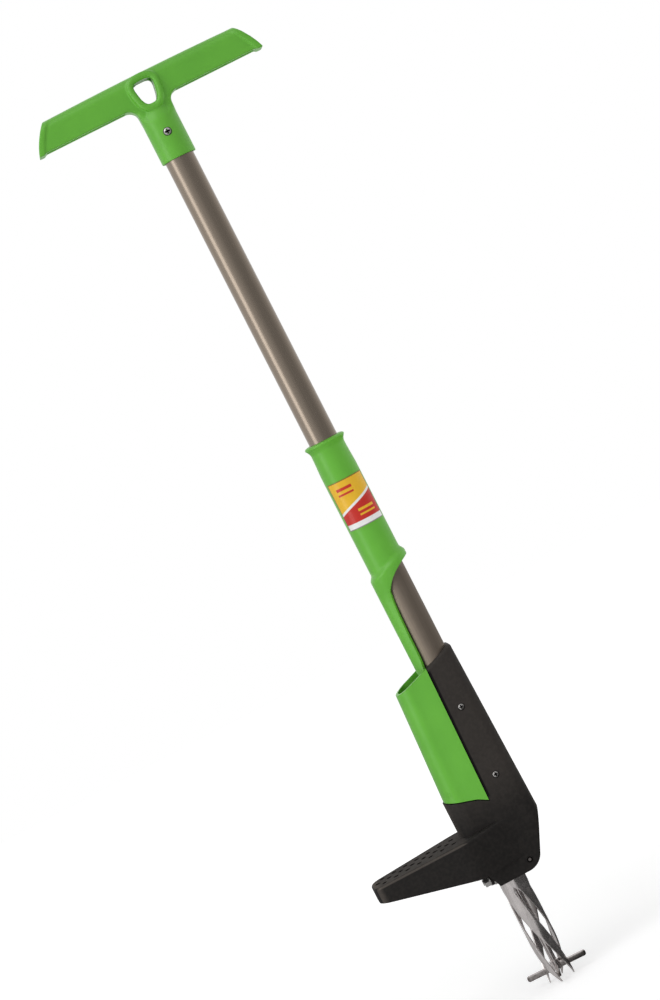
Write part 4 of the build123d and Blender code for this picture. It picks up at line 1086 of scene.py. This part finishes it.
# Tine: depths below the slot tops, the degrees that it reaches ahead and behind there, and its thinner point
ROOT_START, ROOT_END, TINE_END = -0.0040, 0.004, 0.1020
TINE_DEPTH = (ROOT_START, -0.0026, -0.0012, 0.0, ROOT_END, 0.0223, 0.0445, 0.0890, TINE_END)
TINE_LEAD = (45.0, 43.5, 39.0, 34.5, 30.6, 27.0, 23.0, 12.0, 9.0)
TINE_LAG = (45.0, 43.5, 39.0, 34.5, 30.8, 29.0, 27.0, 12.0, -3.0)
TINE_SQUARE = 0.30
TINE_THIN, THIN_START, THIN_RUN = 0.35, 0.092, 0.010
# Star bar: the share of its length at which an end starts, how far that draws in, and its squared section
STAR_END, STAR_DRAW, STAR_SQUARE = 0.93, 0.80, 0.45


def tine_grid(s, index):
    """Strip of the slit tube: at each level a squared loop between two angles and two radii. The middle angle
    turns evenly with depth, and the reach to both sides narrows from the slot tops to the point."""
    root = np.linspace(ROOT_START, ROOT_END, 12, endpoint=False)
    d = np.concatenate([root, np.linspace(ROOT_END, TINE_END, 60)])
    ahead, behind = (np.radians(np.interp(d, TINE_DEPTH, side))[:, None] for side in (TINE_LEAD, TINE_LAG))
    d = d[:, None]
    turned = math.radians(s.twist) * MILLIMETRES * d
    middle = s.root_angle + turned + index * np.pi / 2 + (ahead - behind) / 2
    a = turn(40)[None]
    thin = 1.0 - TINE_THIN * ease((d - THIN_START) / THIN_RUN)
    theta = middle + (ahead + behind) / 2 * squared(np.cos(a), TINE_SQUARE)
    r = s.radius - s.wall / 2 + s.wall / 2 * thin * squared(np.sin(a), TINE_SQUARE)
    return stacked(tine_x + r * np.cos(theta), r * np.sin(theta), s.slot_top - d)


class WEED_PULLER_OT_tines(bpy.types.Operator):
    """Make the slit tube with its four twisted tines"""

    bl_idname = "weed_puller.tines"
    bl_label = "Tines"

    def execute(self, context):
        s = settings().tines
        z = np.array([tine_high.z, s.slot_top - ROOT_START])[:, None]
        outer, bore = (loops(r, r, z, tine_x) for r in (s.radius, s.radius - s.wall))
        neck = torus(np.concatenate([outer, bore[::-1]]))
        tines = [solid(tine_grid(s, index)) for index in range(4)]
        smooth_piece("tine_cage", [neck, *tines], "frame", "tine_steel", "tine_tube", sharp_from=50.0)
        return {"FINISHED"}


def star_grid(s, angle_of_bar):
    """Bar along a radius with a squared section that draws in to rounded ends."""
    tip = np.linspace(1.0, STAR_END, 10, endpoint=False)
    share = np.concatenate([-tip, np.linspace(-STAR_END, STAR_END, 12), tip[::-1]])[:, None]
    end = np.clip((np.abs(share) - STAR_END) / (1.0 - STAR_END), 0.0, 1.0)
    fit = np.sqrt(1.0 - STAR_DRAW * end**2)
    half_height = (star_high.z - star_low.z) / 2
    b = turn(32)[None]
    along = s.star_half * share
    across = s.star_half_width * fit * squared(np.cos(b), STAR_SQUARE)
    up = (star_high.z + star_low.z) / 2 + half_height * fit * squared(np.sin(b), STAR_SQUARE)
    c, d = math.cos(angle_of_bar), math.sin(angle_of_bar)
    return stacked(tine_x + along * c - across * d, along * d + across * c, up)


class WEED_PULLER_OT_star(bpy.types.Operator):
    """Make the ejector's crossed star bars"""

    bl_idname = "weed_puller.star"
    bl_label = "Star"

    def execute(self, context):
        s = settings().tines
        for name, node, extra in (
            ("star_long", "star_bar_long", 0.0),
            ("star_cross", "star_bar_cross", math.pi / 2),
        ):
            bar = solid(star_grid(s, s.star_angle + extra))
            smooth_piece(name, [bar], "ejector", "tine_steel", node, "star_steel", sharp_from=60.0)
        return {"FINISHED"}


class WEED_PULLER_OT_carried(bpy.types.Operator):
    """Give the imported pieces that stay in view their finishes"""

    bl_idname = "weed_puller.carried"
    bl_label = "Packed pieces"

    def execute(self, context):
        for name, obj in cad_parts.items():
            if not obj.hide_render:
                slot = obj.data.materials[0].name.split(".")[0]
                obj.data.materials[0] = material("pin_steel" if name == "rear_pin" else slot)
        return {"FINISHED"}


# Studio

# Lamps: place, level aimed at on the tube's axis, width and height, and whether reflections show the lamp
LAMPS = {
    "key": ((-1.37, -0.62, -0.32), -0.32, (0.62, 1.75), True),
    "top": ((-0.75, -0.70, 1.10), -0.3, (1.3, 1.3), True),
    "side": ((1.25, 0.28, -0.50), -0.50, (1.2, 1.6), False),
    "low": ((0.12, -0.90, -0.82), -0.72, (0.7, 0.4), False),
}
# Floor: its gap below the object, half its width, its paint, and the light that the camera sees on it
FLOOR_GAP, FLOOR_HALF, FLOOR_PAINT = 0.001, 3.0, 0.80
FLOOR_LIFT, FLOOR_AWAY, FLOOR_FADE = 0.44, 0.24, (0.15, 1.0)
# Cards: angles round the tube from the camera in degrees, then lengths in metres and tones
FRONT_SPAN, FRONT_RADIUS, FRONT_TOP = (-40.0, 140.0), 2.3, 1.3
FRONT_LEFT, FRONT_RIGHT = (-40.0, 25.0), (55.0, 140.0)
FRONT_LEFT_TONE, FRONT_RIGHT_TONE = 0.40, 0.50
TABLE_SPAN, TABLE_REACH, TABLE_LIFT = (6.0, 170.0), (0.02, 1.5), 0.0005
SENSOR, CLIP_END = 36.0, 100.0


def blank_tree(owner):
    """Emptied node tree of a material or world, to wire up."""
    owner.use_nodes = True
    owner.node_tree.nodes.clear()
    return Wire(owner.node_tree)


def glow_world(ambient):
    """White room for what looks at it, and a level ambient light for the rest."""
    world = bpy.data.worlds.new("Studio")
    path = blank_tree(world).node("ShaderNodeLightPath", output="Is Camera Ray")
    rays = path.socket.node.outputs
    seen = path + Wire(path.tree, rays["Is Glossy Ray"]) + Wire(path.tree, rays["Is Transmission Ray"])
    level = ambient + path.maths("MINIMUM", seen, 1.0) * (1.0 - ambient)
    shade = path.node("ShaderNodeBackground", {"Color": (1.0, 1.0, 1.0, 1.0), "Strength": level})
    shade.node("ShaderNodeOutputWorld", {"Surface": shade})
    bpy.context.scene.world = world


def floor_material():
    """Pale floor that takes the shadow and is lifted to white for the camera, less so round the object."""
    made = bpy.data.materials.new("floor_finish")
    camera = blank_tree(made).node("ShaderNodeLightPath", output="Is Camera Ray")
    x, y, z = camera.node("ShaderNodeTexCoord", output="Object").axes()
    away = x.hypot(y).step(*FLOOR_FADE)
    matt = camera.node("ShaderNodeBsdfDiffuse", {"Color": (FLOOR_PAINT, FLOOR_PAINT, FLOOR_PAINT, 1.0)})
    lift = camera.node("ShaderNodeEmission", {"Color": camera * (FLOOR_LIFT + away * FLOOR_AWAY)})
    both = camera.node("ShaderNodeAddShader", {0: matt, 1: lift})
    both.node("ShaderNodeOutputMaterial", {"Surface": both})
    return made


def lamp(name, place, aim_level, size, reflected, watts):
    """Rectangular soft lamp aimed at a level on the tube's axis."""
    data = bpy.data.lights.new(name, "AREA")
    data.shape = "RECTANGLE"
    data.size, data.size_y = size
    data.energy = watts
    obj = bpy.data.objects.new(name, data)
    obj.location = place
    obj.rotation_euler = (Vector((0.0, 0.0, aim_level)) - Vector(place)).to_track_quat("-Z", "Y").to_euler()
    obj.visible_glossy = reflected
    bpy.context.scene.collection.objects.link(obj)


def front_glow(at):
    """Tone of the front card, lighter by smooth steps towards both of its ends."""
    s = settings().stage
    x, y, z = at.axes()
    round_it = at.maths("ARCTAN2", x, y * -1.0) * (180.0 / math.pi) - math.degrees(s.azimuth)
    left = (1.0 - round_it.step(*FRONT_LEFT)) * FRONT_LEFT_TONE
    return s.front_tone + left + round_it.step(*FRONT_RIGHT) * FRONT_RIGHT_TONE


def card(name, grid, tone):
    """Card over a grid of points, seen only in reflections; tone gives its grey at the object coordinates."""
    obj = make_object(name, [Patch(grid)])
    made = bpy.data.materials.new(name + "_finish")
    at = blank_tree(made).node("ShaderNodeTexCoord", output="Object")
    glow = at.node("ShaderNodeEmission", {"Color": tone(at)})
    glow.node("ShaderNodeOutputMaterial", {"Surface": glow})
    obj.data.materials.append(made)
    obj.visible_camera = obj.visible_diffuse = obj.visible_shadow = obj.visible_transmission = False
    return obj


def add_camera(s):
    """Camera that looks at the target from its azimuth and elevation, rolled about its line of sight."""
    level = math.cos(s.elevation)
    back = Vector((math.sin(s.azimuth) * level, -math.cos(s.azimuth) * level, math.sin(s.elevation)))
    right = Vector((math.cos(s.azimuth), math.sin(s.azimuth), 0.0))
    turned = Matrix((right, back.cross(right), back)).transposed() @ Matrix.Rotation(-s.roll, 3, "Z")
    data = bpy.data.cameras.new("photo_camera")
    data.sensor_width = SENSOR
    data.lens = s.focal_share * data.sensor_width
    data.clip_end = CLIP_END
    camera = bpy.data.objects.new("photo_camera", data)
    place = Vector((s.target_x, 0.0, s.target_z)) + back * s.distance
    camera.matrix_world = Matrix.Translation(place) @ turned.to_4x4()
    bpy.context.scene.collection.objects.link(camera)
    bpy.context.scene.camera = camera


class WEED_PULLER_OT_stage(bpy.types.Operator):
    """Set up the floor, the lamps and the camera"""

    bl_idname = "weed_puller.stage"
    bl_label = "Stage"

    def execute(self, context):
        s = settings().stage
        context.scene.view_settings.view_transform = "Standard"
        glow_world(s.ambient)
        for name, lamp_setup in LAMPS.items():
            lamp(name + "_lamp", *lamp_setup, getattr(s, name))
        level = cad_box[0].z - FLOOR_GAP
        bend = np.radians(np.linspace(*FRONT_SPAN, 60))[None] + s.azimuth
        height = np.array([level, FRONT_TOP])[:, None]
        front = stacked(FRONT_RADIUS * np.sin(bend), -FRONT_RADIUS * np.cos(bend), height)
        fan = np.radians(np.linspace(*TABLE_SPAN, 40))[None] + s.azimuth
        reach = np.array(TABLE_REACH)[:, None]
        table = stacked(tine_x + reach * np.sin(fan), -reach * np.cos(fan), level + TABLE_LIFT)
        grey = (s.table_tone, s.table_tone, s.table_tone, 1.0)
        cards = [card("front_card", front, front_glow), card("table_card", table, lambda at: grey)]
        share = np.array([-FLOOR_HALF, FLOOR_HALF])
        floor = make_object("floor", [Patch(stacked(share[:, None], share[None], level))])
        floor.data.materials.append(floor_material())
        add_camera(s)
        return {"FINISHED"}


OPERATORS = (
    WEED_PULLER_OT_stage, WEED_PULLER_OT_handle, WEED_PULLER_OT_tube, WEED_PULLER_OT_screws,
    WEED_PULLER_OT_grip, WEED_PULLER_OT_label, WEED_PULLER_OT_tines, WEED_PULLER_OT_star,
    WEED_PULLER_OT_carried,
)


class WEED_PULLER_PT_panel(bpy.types.Panel):
    """Lists the weed puller's pieces"""

    bl_idname = "WEED_PULLER_PT_panel"
    bl_label = "Weed puller"
    bl_space_type = "VIEW_3D"
    bl_region_type = "UI"
    bl_category = "Weed puller"

    def draw(self, context):
        for operator in OPERATORS:
            self.layout.operator(operator.bl_idname)


CLASSES = (
    HandleSizes, GripSizes, FastenerSizes, TineSizes, Finishes, StageSetup, WeedPullerSettings, *OPERATORS,
    WEED_PULLER_PT_panel,
)


def register():
    """Registers the settings, the operators and the panel."""
    for cls in CLASSES:
        bpy.utils.register_class(cls)
    bpy.types.Scene.weed_puller = bpy.props.PointerProperty(type=WeedPullerSettings)


def unregister():
    """Removes what register added."""
    del bpy.types.Scene.weed_puller
    for cls in reversed(CLASSES):
        bpy.utils.unregister_class(cls)


def main():
    """Builds every piece in order."""
    register()
    for operator in OPERATORS:
        group, name = operator.bl_idname.split(".")
        getattr(getattr(bpy.ops, group), name)()


if __name__ == "__main__":
    main()
